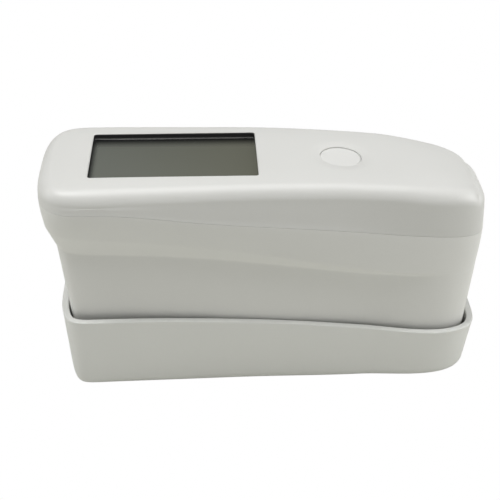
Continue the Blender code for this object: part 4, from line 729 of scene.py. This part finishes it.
def makeTopCover(shape=displayShape):
    wall, seam, bend = caseShape["wall"], caseShape["seamHalf"], caseShape["seamRound"]
    lip = parting + caseShape["lipRoom"]
    inner = coverLoops(wall, lip, (0, 30, 60, 90), 2)[::-1]
    foot = parting + seam
    step = [loopAt(-wall / 2, lip), loopAt(-wall / 2, foot), loopAt(-2 * bend, foot)]
    for angle in np.radians((20, 45, 70)):
        step.append(loopAt(-bend * (1 - math.sin(angle)), foot + bend * (1 - math.cos(angle))))
    outer = coverLoops(0, foot + bend, np.linspace(0, 90, 15), 4)
    skin = lofted("topCover", inner + step + outer, crown=caseShape["crown"])
    cover = piece("topCover", skin, "case_plastic")
    play = shape["pocketPlay"]
    low = Vector(windowLow) - Vector((play, play, shape["pocketDepth"]))
    high = Vector(windowHigh) + Vector((play, play, shape["pocketRise"]))
    carve(cover, "DIFFERENCE", roundedBox("windowPocket", low, high, shape["corner"]), inCase=False)
    carve(cover, "DIFFERENCE", openingCutter())
    wellRadius, wellTop, wellFoot = buttonPlace["wellRadius"], buttonPlace["wellTop"], buttonPlace["cut"][0]
    profile = [(0, wellFoot), (wellRadius, wellFoot), (wellRadius, wellTop), (0, wellTop)]
    carve(cover, "DIFFERENCE", turned("buttonWell", profile, buttonPlace["wellSides"]), buttonFrame)
    carve(cover, "DIFFERENCE", buttonHoleCutter(), buttonFrame)
    # painted shade darkens the wall of the display opening
    shadeOpeningWall(cover)
    return settle(cover, "case", "case_plastic", "top_cover")


topCover = makeTopCover()
print("top cover:", len(topCover.data.polygons), "faces")


def makeButton(shape=buttonPlace):
    radius, edge, hollow = shape["radius"], shape["capEdge"], shape["capHollow"]
    flange, (foot, rest) = shape["flangeRadius"], shape["flange"]
    capTop = shape["capRise"] - shape["dishDepth"]
    profile = [(0, foot), (flange, foot), (flange, rest), (radius, rest)]
    for angle in np.radians((0, 15, 30, 45, 60, 75, 90)):
        profile.append((radius - edge * (1 - math.cos(angle)), capTop - edge * (1 - math.sin(angle))))
    # the cap is slightly hollow, deepest at its middle
    for share in (0.85, 0.7, 0.5, 0.25, 0):
        profile.append((radius * share, capTop - hollow * (1 - share) ** 0.8))
    mesh = turned("measureButton", profile, shape["sides"])
    button = piece("measureButton", mesh, "button_plastic", buttonFrame)
    return settle(button, "button", "button_plastic", "measure_button")


makeButton()


bayShape = {
    "coverPlay": 0.35 * mm, "coverBack": 0.3 * mm, "travel": 6 * mm, "cutOutwards": 20 * mm,
    "padLength": 2 * mm, "padHeight": 1.5 * mm, "padDepth": 1.3 * mm,
    "trayPlay": 0.3 * mm, "mouthEnd": 1.4 * mm, "mouthDepth": 4 * mm, "cellPlay": 0.3 * mm,
}
recessShape = {
    "play": 0.3 * mm, "below": 2 * mm, "corner": 3 * mm,
    "windowLength": 26 * mm, "windowWidth": 12 * mm, "windowTop": 20 * mm, "windowCorner": 2 * mm,
}
edgeShares = (-1.1, -0.6, -0.2, 0.2, 0.6, 1.1, 1.6)


def housingLoops():
    # up the outside from the foot, over the facet to the parting line, round the lip and down inside
    seam, bend, wall = caseShape["seamHalf"], caseShape["seamRound"], caseShape["wall"]
    foot, soft = caseShape["footRadius"], caseShape["facetSoftness"]
    loops = []
    for angle in np.radians((0, 30, 60)):
        height = caseBottom + foot * (1 - math.cos(angle))
        loops.append(loopAt(-wallInset(height) - foot * (1 - math.sin(angle)), height))
    start = caseBottom + foot
    loops.append(loopAt(-wallInset(start), start))

    # where the facet runs out, its loops still keep a little apart
    leastGap, leastRise, leastStep, leastEnd = 0.05 * mm, 0.06 * mm, 0.02 * mm, 0.1 * mm
    past, farPast = 1.7 * soft, 1.8 * soft
    reach = edgeShares[-1] * soft
    bandLow, bandHigh = facetFoot - reach, facetFoot + reach
    gap = np.maximum(facetTop - facetFoot - 2 * reach, leastGap)
    last = np.maximum(facetTop + past, facetFoot + farPast + leastEnd)
    top = parting - seam - bend
    heights = [start + (bandLow - start) * share for share in np.linspace(0, 1, 7)[1:]]
    heights += [facetFoot + soft * share for share in edgeShares]
    heights += [bandHigh + gap * share for share in (0.35, 0.7)]
    for share in edgeShares:
        lowest = facetFoot + past + leastRise + share * leastStep
        heights.append(np.maximum(facetTop + soft * share, lowest))
    heights += [last + (top - last) * share for share in np.linspace(0.1, 1, 9)]
    loops += [loopAt(-softInset(height), height) for height in heights]

    inset = softInset(top)
    for angle in np.radians((25, 50, 75)):
        loops.append(loopAt(-inset - bend * (1 - math.cos(angle)), top + bend * math.sin(angle)))
    loops.append(loopAt(-inset - 2 * bend, parting - seam))
    lipOut, lipTop = -wall / 2 - caseShape["lipPlay"], parting + caseShape["lipRise"]
    loops += [loopAt(lipOut, parting - seam), loopAt(lipOut, lipTop), loopAt(-wall, lipTop)]
    for share in (0.9, 0.5, 0):
        height = facetTop + (parting - facetTop) * share
        loops.append(loopAt(-wall - plainInset(height), height))
    for height in (facetFoot, caseBottom + caseShape["floor"]):
        loops.append(loopAt(-wall - wallInset(height), height))
    return loops


def cutBay(housing, shape=bayShape):
    # a thicker wall on the hidden side, the track of the sliding cover and the mouth of the bay
    doorLow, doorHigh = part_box("battery_cover")
    trayLow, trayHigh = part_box("battery_tray")
    cellLow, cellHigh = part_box("battery_cell")
    play = shape["coverPlay"]
    trackLow = Vector((doorLow[0] - play, doorLow[1] - shape["coverBack"], doorLow[2] - play))
    trackEnd = doorHigh[0] + shape["travel"] + play
    trackHigh = Vector((trackEnd, doorHigh[1] + shape["cutOutwards"], doorHigh[2] + play))
    inner = trayHigh[1] + shape["trayPlay"]
    length, height = shape["padLength"], shape["padHeight"]
    padLow = (trackLow.x - length, inner, trackLow.z - height)
    padHigh = (trackHigh.x + length, doorLow[1] + shape["padDepth"], trackHigh.z + height)
    end, depth, cellPlay = shape["mouthEnd"], shape["mouthDepth"], shape["cellPlay"]
    mouthLow = (trayLow[0] + end, inner - depth, cellLow[2] - cellPlay)
    mouthHigh = (trayHigh[0] - end, trackLow.y + depth, cellHigh[2] + cellPlay)
    carve(housing, "UNION", roundedBox("bayPad", padLow, padHigh), inCase=False)
    carve(housing, "DIFFERENCE", roundedBox("coverPocket", trackLow, trackHigh), inCase=False)
    carve(housing, "DIFFERENCE", roundedBox("batteryMouth", mouthLow, mouthHigh), inCase=False)


def cutRecess(housing, shape=recessShape):
    # the recess of the base plate, and the window in the floor over the measuring aperture
    play = shape["play"]
    low = (plateLow[0] - play, plateLow[1] - play, caseBottom - shape["below"])
    high = (plateHigh[0] + play, plateHigh[1] + play, plateHigh[2] + play)
    carve(housing, "DIFFERENCE", roundedBox("plateRecess", low, high, shape["corner"]), inCase=False)
    middle = (plateLow[0] + plateHigh[0]) / 2
    length, width = shape["windowLength"] / 2, shape["windowWidth"] / 2
    low, high = (middle - length, -width, 0), (middle + length, width, shape["windowTop"])
    carve(housing, "DIFFERENCE", roundedBox("floorWindow", low, high, shape["windowCorner"]), inCase=False)


def makeLowerHousing():
    housing = piece("lowerHousing", lofted("lowerHousing", housingLoops()), "case_plastic")
    cutBay(housing)
    cutRecess(housing)
    return settle(housing, "case", "case_plastic", "lower_housing")


lowerHousing = makeLowerHousing()
print("lower housing:", len(lowerHousing.data.polygons), "faces")


baseShape = {
    "floor": 3 * mm, "wall": 2.4 * mm, "tailPlay": 0.5 * mm, "nosePlay": 1.2 * mm,
    "sidePlay": ((0, 2.4 * mm), (0.3, 1.2 * mm), (0.5, 0.5 * mm), (0.7, 1 * mm), (1, 1.6 * mm)),
    "rim": (
        (0, 29.6 * mm), (0.24, 29.3 * mm), (0.435, 27.8 * mm),
        (0.63, 25.5 * mm), (0.824, 22 * mm), (1, 19.9 * mm),
    ),
    "draft": (0.06, 0.079, 0.17), "footRadius": (4 * mm, 6.5 * mm, 5.2 * mm), "rimRound": 0.45 * mm,
    "ribLength": 12 * mm, "ribWidth": 2.4 * mm, "ribSpacing": 84 * mm, "ribAcross": 26 * mm,
    "frameWall": 1.9 * mm, "frameHeight": 2.4 * mm, "frameCorner": 1.5 * mm,
    "nestPlay": 0.3 * mm, "nestTop": 20 * mm, "seatGap": 0.3 * mm, "overlap": 1 * mm,
}


def baseLoops(shape):
    # up the outside from the foot, round the rim and down inside to the floor
    rim = smoothCurve(shape["rim"], along)
    play = bySide(smoothCurve(shape["sidePlay"], along), shape["tailPlay"], shape["nosePlay"])
    innerAtRim = -wallInset(rim) + play
    outerAtRim = innerAtRim + shape["wall"]
    draft = bySide(*shape["draft"])
    foot, bend = bySide(*shape["footRadius"]), shape["rimRound"]
    loops = []
    for angle in np.radians(np.linspace(0, 90, 13)):
        height = foot * (1 - math.cos(angle))
        loops.append(loopAt(outerAtRim - draft * (rim - height) - foot * (1 - math.sin(angle)), height))
    for share in (0.2, 0.4, 0.6, 0.8, 1):
        height = foot + (rim - bend - foot) * share
        loops.append(loopAt(outerAtRim - draft * (rim - height), height))
    for angle in np.radians((18, 36, 54, 72, 90)):
        loops.append(loopAt(outerAtRim - bend * (1 - math.cos(angle)), rim - bend * (1 - math.sin(angle))))
    for angle in np.radians((90, 72, 54, 36, 18, 0)):
        loops.append(loopAt(innerAtRim + bend * (1 - math.cos(angle)), rim - bend * (1 - math.sin(angle))))
    for share in (0.66, 0.33, 0):
        height = shape["floor"] + (rim - bend - shape["floor"]) * share
        loops.append(loopAt(-wallInset(height) + play, height))
    return loops


def makeBase(shape=baseShape):
    base = piece("calibrationBase", lofted("calibrationBase", baseLoops(shape)), "base_plastic")
    tileLow, tileHigh = (Vector(corner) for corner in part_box("calibration_tile"))
    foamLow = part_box("tile_pad")[0]
    middle = (tileLow.x + tileHigh.x) / 2
    floor = shape["floor"]
    sunk = floor - shape["overlap"]
    length, width = shape["ribLength"] / 2, shape["ribWidth"] / 2
    for end in (-1, 1):
        for side in (-1, 1):
            x, y = middle + end * shape["ribSpacing"] / 2, side * shape["ribAcross"] / 2
            high = (x + length, y + width, caseBottom - shape["seatGap"])
            carve(base, "UNION", roundedBox("restRib", (x - length, y - width, sunk), high), inCase=False)
    wall, play = shape["frameWall"], shape["nestPlay"]
    low = (tileLow.x - wall, tileLow.y - wall, sunk)
    high = (tileHigh.x + wall, tileHigh.y + wall, floor + shape["frameHeight"])
    carve(base, "UNION", roundedBox("tileFrame", low, high, shape["frameCorner"]), inCase=False)
    low = (tileLow.x - play, tileLow.y - play, foamLow[2] - play)
    high = (tileHigh.x + play, tileHigh.y + play, shape["nestTop"])
    carve(base, "DIFFERENCE", roundedBox("tileNest", low, high), inCase=False)
    return settle(base, "case", "base_plastic", "calibration_base")


calibrationBase = makeBase()
print("calibration base:", len(calibrationBase.data.polygons), "faces")


def makeWindow(shape=displayShape):
    corner, edge = shape["windowCorner"], shape["windowEdge"]
    mesh = roundedBox("displayWindow", windowLow, windowHigh, corner, edge, 3)
    window = piece("displayWindow", mesh, "window_glass", inCase=False)
    return settle(window, "case", "window_glass", "display_window")


makeWindow()


class Tree:
    # one Geometry Nodes tree: its named inputs, and one method that adds any node
    def __init__(self, name, inputs):
        self.group = bpy.data.node_groups.new(name, "GeometryNodeTree")
        face = self.group.interface
        face.new_socket("Geometry", in_out="OUTPUT", socket_type="NodeSocketGeometry")
        face.new_socket("Geometry", in_out="INPUT", socket_type="NodeSocketGeometry")
        for label, kind in inputs.items():
            face.new_socket(label, in_out="INPUT", socket_type="NodeSocket" + kind)
        self.given = self.group.nodes.new("NodeGroupInput").outputs

    def node(self, kind, sockets, output=0, **settings):
        made = self.group.nodes.new(kind)
        for name, value in settings.items():
            setattr(made, name, value)
        for name, value in sockets.items():
            for one in value if isinstance(value, list) else [value]:
                if isinstance(one, bpy.types.NodeSocket):
                    self.group.links.new(one, made.inputs[name])
                else:
                    made.inputs[name].default_value = one
        return made.outputs[output]

    def times(self, first, second):
        return self.node("ShaderNodeMath", {0: first, 1: second}, operation="MULTIPLY")

    def vector(self, x=0.0, y=0.0, z=0.0):
        return self.node("ShaderNodeCombineXYZ", {0: x, 1: y, 2: z})

    def moved(self, geometry, offset):
        return self.node("GeometryNodeTransform", {"Geometry": geometry, "Translation": offset})

    def cylinder(self, sides, radius, depth):
        return self.node("GeometryNodeMeshCylinder", {"Vertices": sides, "Radius": radius, "Depth": depth})

    def wound(self, turns, start, end, height, wire):
        # a round wire along a spiral
        spiral = self.node("GeometryNodeCurveSpiral", {
            "Resolution": 24, "Rotations": turns, "Start Radius": start, "End Radius": end, "Height": height,
        })
        circle = self.node("GeometryNodeCurvePrimitiveCircle", {"Resolution": 10, "Radius": wire})
        sockets = {"Curve": spiral, "Profile Curve": circle, "Fill Caps": True}
        return self.node("GeometryNodeCurveToMesh", sockets)

    def close(self, geometry):
        # ends in Realize Instances and Set Material
        real = self.node("GeometryNodeRealizeInstances", {0: geometry})
        paint = self.node("GeometryNodeSetMaterial", {"Geometry": real, "Material": self.given["Finish"]})
        self.group.links.new(paint, self.group.nodes.new("NodeGroupOutput").inputs[0])
        return self.group


def gripTree():
    # a row of rounded ribs: count, pitch, radius and length are the tree's inputs
    inputs = {"Count": "Int", "Pitch": "Float", "Radius": "Float", "Length": "Float", "Finish": "Material"}
    tree = Tree("gripRibs", inputs)
    given = tree.given
    row = tree.node("GeometryNodeMeshLine", {"Count": given["Count"], "Offset": tree.vector(given["Pitch"])})
    rib = tree.cylinder(20, given["Radius"], given["Length"])
    return tree.close(tree.node("GeometryNodeInstanceOnPoints", {"Points": row, "Instance": rib}))


# shares of the screw's own head and shank
screwForm = {
    "crown": 0.76, "recessLength": 1.15, "recessWidth": 0.26, "headSides": 40,
    "core": 0.84, "coreSides": 32, "threadAt": 0.86, "threadRound": 0.13, "threadRun": 0.9,
}


def screwTree(form=screwForm):
    # a cross-recess screw on each point: bevelled head under the point, threaded shank over it
    tree = Tree("screws", {
        "Head Radius": "Float", "Head Height": "Float", "Shank Radius": "Float", "Length": "Float",
        "Pitch": "Float", "Turn": "Float", "Finish": "Material",
    })
    given = tree.given
    names = ("Head Radius", "Head Height", "Shank Radius", "Length")
    radius, height, shank, length = (given[name] for name in names)
    half = tree.times(height, 0.5)
    top = tree.vector(z=tree.times(height, -1.0))
    crown = tree.node("GeometryNodeMeshCone", {
        "Vertices": form["headSides"], "Radius Top": radius, "Radius Bottom": tree.times(radius, form["crown"]),
        "Depth": half,
    })
    skirt = tree.cylinder(form["headSides"], radius, half)
    skirt = tree.moved(skirt, tree.vector(z=tree.times(height, -0.25)))
    head = tree.node("GeometryNodeMeshBoolean", {0: [tree.moved(crown, top), skirt]}, operation="UNION")
    long, narrow = (tree.times(radius, form[share]) for share in ("recessLength", "recessWidth"))
    slots = []
    for size in (tree.vector(long, narrow, height), tree.vector(narrow, long, height)):
        slots.append(tree.moved(tree.node("GeometryNodeMeshCube", {"Size": size}), top))
    head = tree.node("GeometryNodeMeshBoolean", {0: head, 1: slots}, operation="DIFFERENCE")
    core = tree.cylinder(form["coreSides"], tree.times(shank, form["core"]), length)
    core = tree.moved(core, tree.vector(z=tree.times(length, 0.5)))
    turns = tree.node("ShaderNodeMath", {0: length, 1: given["Pitch"]}, operation="DIVIDE")
    edge, run = tree.times(shank, form["threadAt"]), form["threadRun"]
    wire = tree.times(shank, form["threadRound"])
    thread = tree.wound(tree.times(turns, run), edge, edge, tree.times(length, run), wire)
    screw = tree.node("GeometryNodeJoinGeometry", {0: [head, core, thread]})
    sockets = {"Points": given["Geometry"], "Instance": screw, "Rotation": tree.vector(given["Turn"])}
    return tree.close(tree.node("GeometryNodeInstanceOnPoints", sockets))


def springTree():
    inputs = {"Turns": "Float", "Wide": "Float", "Narrow": "Float", "Length": "Float", "Wire": "Float"}
    tree = Tree("spring", {**inputs, "Finish": "Material"})
    return tree.close(tree.wound(*(tree.given[name] for name in inputs)))


def runTree(target, tree, values):
    # inputs are set by the sockets' identifiers before the object is evaluated
    modifier = target.modifiers.new(tree.name, "NODES")
    modifier.node_group = tree
    for item in tree.interface.items_tree:
        if item.item_type == "SOCKET" and item.in_out == "INPUT" and item.name in values:
            modifier[item.identifier] = values[item.name]
    flatten(target)


screwShape = {
    "Head Radius": 2.0 * mm, "Head Height": 1.4 * mm, "Shank Radius": 1.1 * mm, "Pitch": 0.8 * mm,
    "Finish": finishes["steel"],
}


def makeScrews(name, nodes, headUp):
    # one mesh for the screws of one kind, each where the CAD put it
    points, lengths = [], []
    head = screwShape["Head Height"]
    for node in nodes:
        low, high = (Vector(corner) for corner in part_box(node))
        seat = high.z - head if headUp else low.z + head
        points.append(((low.x + high.x) / 2, (low.y + high.y) / 2, seat))
        lengths.append(seat - low.z if headUp else high.z - seat)
    made = piece(name, meshFrom(name, points, []), None, inCase=False)
    turn = math.pi if headUp else 0.0
    runTree(made, screwTree(), {**screwShape, "Length": min(lengths), "Turn": turn})
    return settle(made, "case", "steel", *nodes)


springShape = {
    "Turns": 4.0, "Wide": 4.2 * mm, "Narrow": 2.6 * mm, "Wire": 0.35 * mm, "Finish": finishes["steel"],
}


def makeSpring(shape=springShape):
    # a spring laid along X, which narrows on its way
    low, high = (Vector(corner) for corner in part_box("battery_spring"))
    wire = shape["Wire"]
    spring = piece("batterySpring", meshFrom("batterySpring", [], []), None, inCase=False)
    runTree(spring, springTree(), {**shape, "Length": high.x - low.x - 2 * wire})
    start = Vector((low.x + wire, (low.y + high.y) / 2, (low.z + high.z) / 2))
    spring.data.transform(Matrix.Translation(start) @ Matrix.Rotation(math.radians(90), 4, "Y"))
    return settle(spring, "case", "steel", "battery_spring")


screwKinds = {
    "caseScrews": (["case_screw_1", "case_screw_2", "case_screw_3", "case_screw_4"], False),
    "boardScrews": (["board_screw_1", "board_screw_2"], False),
    "blockScrews": (["block_screw_1", "block_screw_2"], True),
}
for kind, (screwNodes, headUp) in screwKinds.items():
    makeScrews(kind, screwNodes, headUp)
makeSpring()
print("screws and spring made")


coverShape = {"edge": 0.25 * mm, "ribShare": 0.6, "ribsFromEnd": 5 * mm}
ribShape = {"Count": 5, "Pitch": -2.2 * mm, "Radius": 0.5 * mm, "Finish": finishes["case_plastic"]}


def makeBatteryCover(shape=coverShape):
    low, high = (Vector(corner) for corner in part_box("battery_cover"))
    face = high.y - ribShape["Radius"]
    plate = roundedBox("batteryCover", low, (high.x, face, high.z), 0, shape["edge"], 3)
    cover = piece("batteryCover", plate, "case_plastic", inCase=False)
    row = piece("gripRow", bpy.data.meshes.new("gripRow"), None, inCase=False)
    runTree(row, gripTree(), {**ribShape, "Length": (high.z - low.z) * shape["ribShare"]})
    middle = Vector((high.x - shape["ribsFromEnd"], face, (low.z + high.z) / 2))
    carve(cover, "UNION", row.data.copy(), Matrix.Translation(middle), inCase=False)
    bpy.data.objects.remove(row, do_unlink=True)
    return settle(cover, "bay_cover", "case_plastic", "battery_cover")


makeBatteryCover()
print("window, button and battery cover made")


replaced = {"top_cover", "lower_housing", "calibration_base", "measure_button"}
replaced |= {"display_window", "battery_cover", "battery_spring"}
replaced.update(node for screwNodes, _ in screwKinds.values() for node in screwNodes)
slotOf = {part["node"]: part["material_slot"] for part in frame["record"]["subparts"]}
for nodeName, node in frame["nodes"].items():
    if nodeName in replaced:
        continue
    node.data.materials.clear()
    node.data.materials.append(finishes[slotOf[nodeName]])
print("CAD pieces finished:", len(frame["nodes"]) - len(replaced))


def whiteToCamera(tree, output, body):
    # seen directly or through glass the surface is white; for the rest it is lit as it is
    path = tree.nodes.new("ShaderNodeLightPath")
    seen = tree.nodes.new("ShaderNodeMath")
    seen.operation = "MAXIMUM"
    tree.links.new(path.outputs["Is Camera Ray"], seen.inputs[0])
    tree.links.new(path.outputs["Is Transmission Ray"], seen.inputs[1])
    white = tree.nodes.new("ShaderNodeEmission")
    white.inputs["Color"].default_value = (1, 1, 1, 1)
    mix = tree.nodes.new("ShaderNodeMixShader")
    tree.links.new(seen.outputs[0], mix.inputs["Fac"])
    tree.links.new(body, mix.inputs[1])
    tree.links.new(white.outputs[0], mix.inputs[2])
    tree.links.new(mix.outputs[0], output)


studio = {
    "floorSize": 6.0, "floorBelow": 0.05 * mm, "floorColour": (0.68, 0.68, 0.63),
    "worldLevel": 0.02, "worldColour": (1.0, 1.0, 0.97),
}
lampAim = (0, 0, 0.05)
lamps = {
    "over": {"place": (0, 0, 1.3), "size": (1.4, 1.0), "power": 13.4},
    "key": {"place": (-0.45, -0.1, 1.0), "size": (0.3, 0.3), "power": 3.8},
    "left": {"place": (-0.9, 0, 0.3), "size": (0.6, 0.5), "power": 1.3},
    "right": {"place": (0.9, 0, 0.3), "size": (0.6, 0.5), "power": 4.1},
    "front": {"place": (0, -1.3, 0.35), "size": (1.6, 0.6), "power": 2.4},
}


def makeFloor():
    size, below = studio["floorSize"], -studio["floorBelow"]
    corners = [(-size, -size, below), (size, -size, below), (size, size, below), (-size, size, below)]
    floor = bpy.data.objects.new("floor", meshFrom("floor", corners, [[0, 1, 2, 3]]))
    bpy.context.scene.collection.objects.link(floor)
    finish = Finish("floorPaper", studio["floorColour"], 1.0)
    finish.setShader("Specular IOR Level", 0.0)
    output = finish.tree.nodes["Material Output"].inputs["Surface"]
    whiteToCamera(finish.tree, output, finish.shader.outputs[0])
    floor.data.materials.append(finish.material)


def makeWorld():
    world = bpy.data.worlds.new("softRoom")
    bpy.context.scene.world = world
    world.use_nodes = True
    tree = world.node_tree
    room = tree.nodes["Background"]
    room.inputs["Color"].default_value = (*studio["worldColour"], 1)
    room.inputs["Strength"].default_value = studio["worldLevel"]
    whiteToCamera(tree, tree.nodes["World Output"].inputs["Surface"], room.outputs[0])


def makeLamp(name, setup):
    lamp = bpy.data.lights.new(name + "Softbox", "AREA")
    lamp.shape = "RECTANGLE"
    lamp.size, lamp.size_y = setup["size"]
    lamp.energy = setup["power"]
    made = bpy.data.objects.new(name + "Softbox", lamp)
    made.location = setup["place"]
    made.rotation_euler = (Vector(lampAim) - Vector(setup["place"])).to_track_quat("-Z", "Y").to_euler()
    bpy.context.scene.collection.objects.link(made)


# fitted to the photo's edges: metres and radians, and pixels for the lens and the picture
cameraPlan = {
    "place": (-0.02108, -0.3519, 0.2618), "down": 0.5559, "yaw": 0.04245, "roll": 0.006841,
    "focal": 1142.0, "middle": (245.6, 251.2), "picture": 500.0, "sensor": 36.0,
}


def makeCamera(shot=cameraPlan):
    down, yaw, roll = shot["down"], shot["yaw"], shot["roll"]
    ahead = Vector((math.sin(yaw) * math.cos(down), math.cos(yaw) * math.cos(down), -math.sin(down)))
    right = Vector((math.cos(yaw), -math.sin(yaw), 0))
    up = right.cross(ahead)
    rightTurned = right * math.cos(roll) + up * math.sin(roll)
    upTurned = up * math.cos(roll) - right * math.sin(roll)
    camera = bpy.data.cameras.new("camera")
    camera.sensor_width = shot["sensor"]
    camera.sensor_fit = "HORIZONTAL"
    camera.lens = shot["focal"] / shot["picture"] * shot["sensor"]
    camera.shift_x = (shot["picture"] / 2 - shot["middle"][0]) / shot["picture"]
    camera.shift_y = (shot["middle"][1] - shot["picture"] / 2) / shot["picture"]
    camera.clip_start, camera.clip_end = 0.01, 20
    made = bpy.data.objects.new("camera", camera)
    turn = Matrix((rightTurned, upTurned, -ahead)).transposed().to_4x4()
    made.matrix_world = Matrix.Translation(Vector(shot["place"]) + Vector((shiftX, 0, 0))) @ turn
    bpy.context.scene.collection.objects.link(made)
    bpy.context.scene.camera = made


makeFloor()
makeWorld()
for lampName, lampPlan in lamps.items():
    makeLamp(lampName, lampPlan)
makeCamera()
bpy.context.scene.view_settings.view_transform = "Standard"
print("studio made")
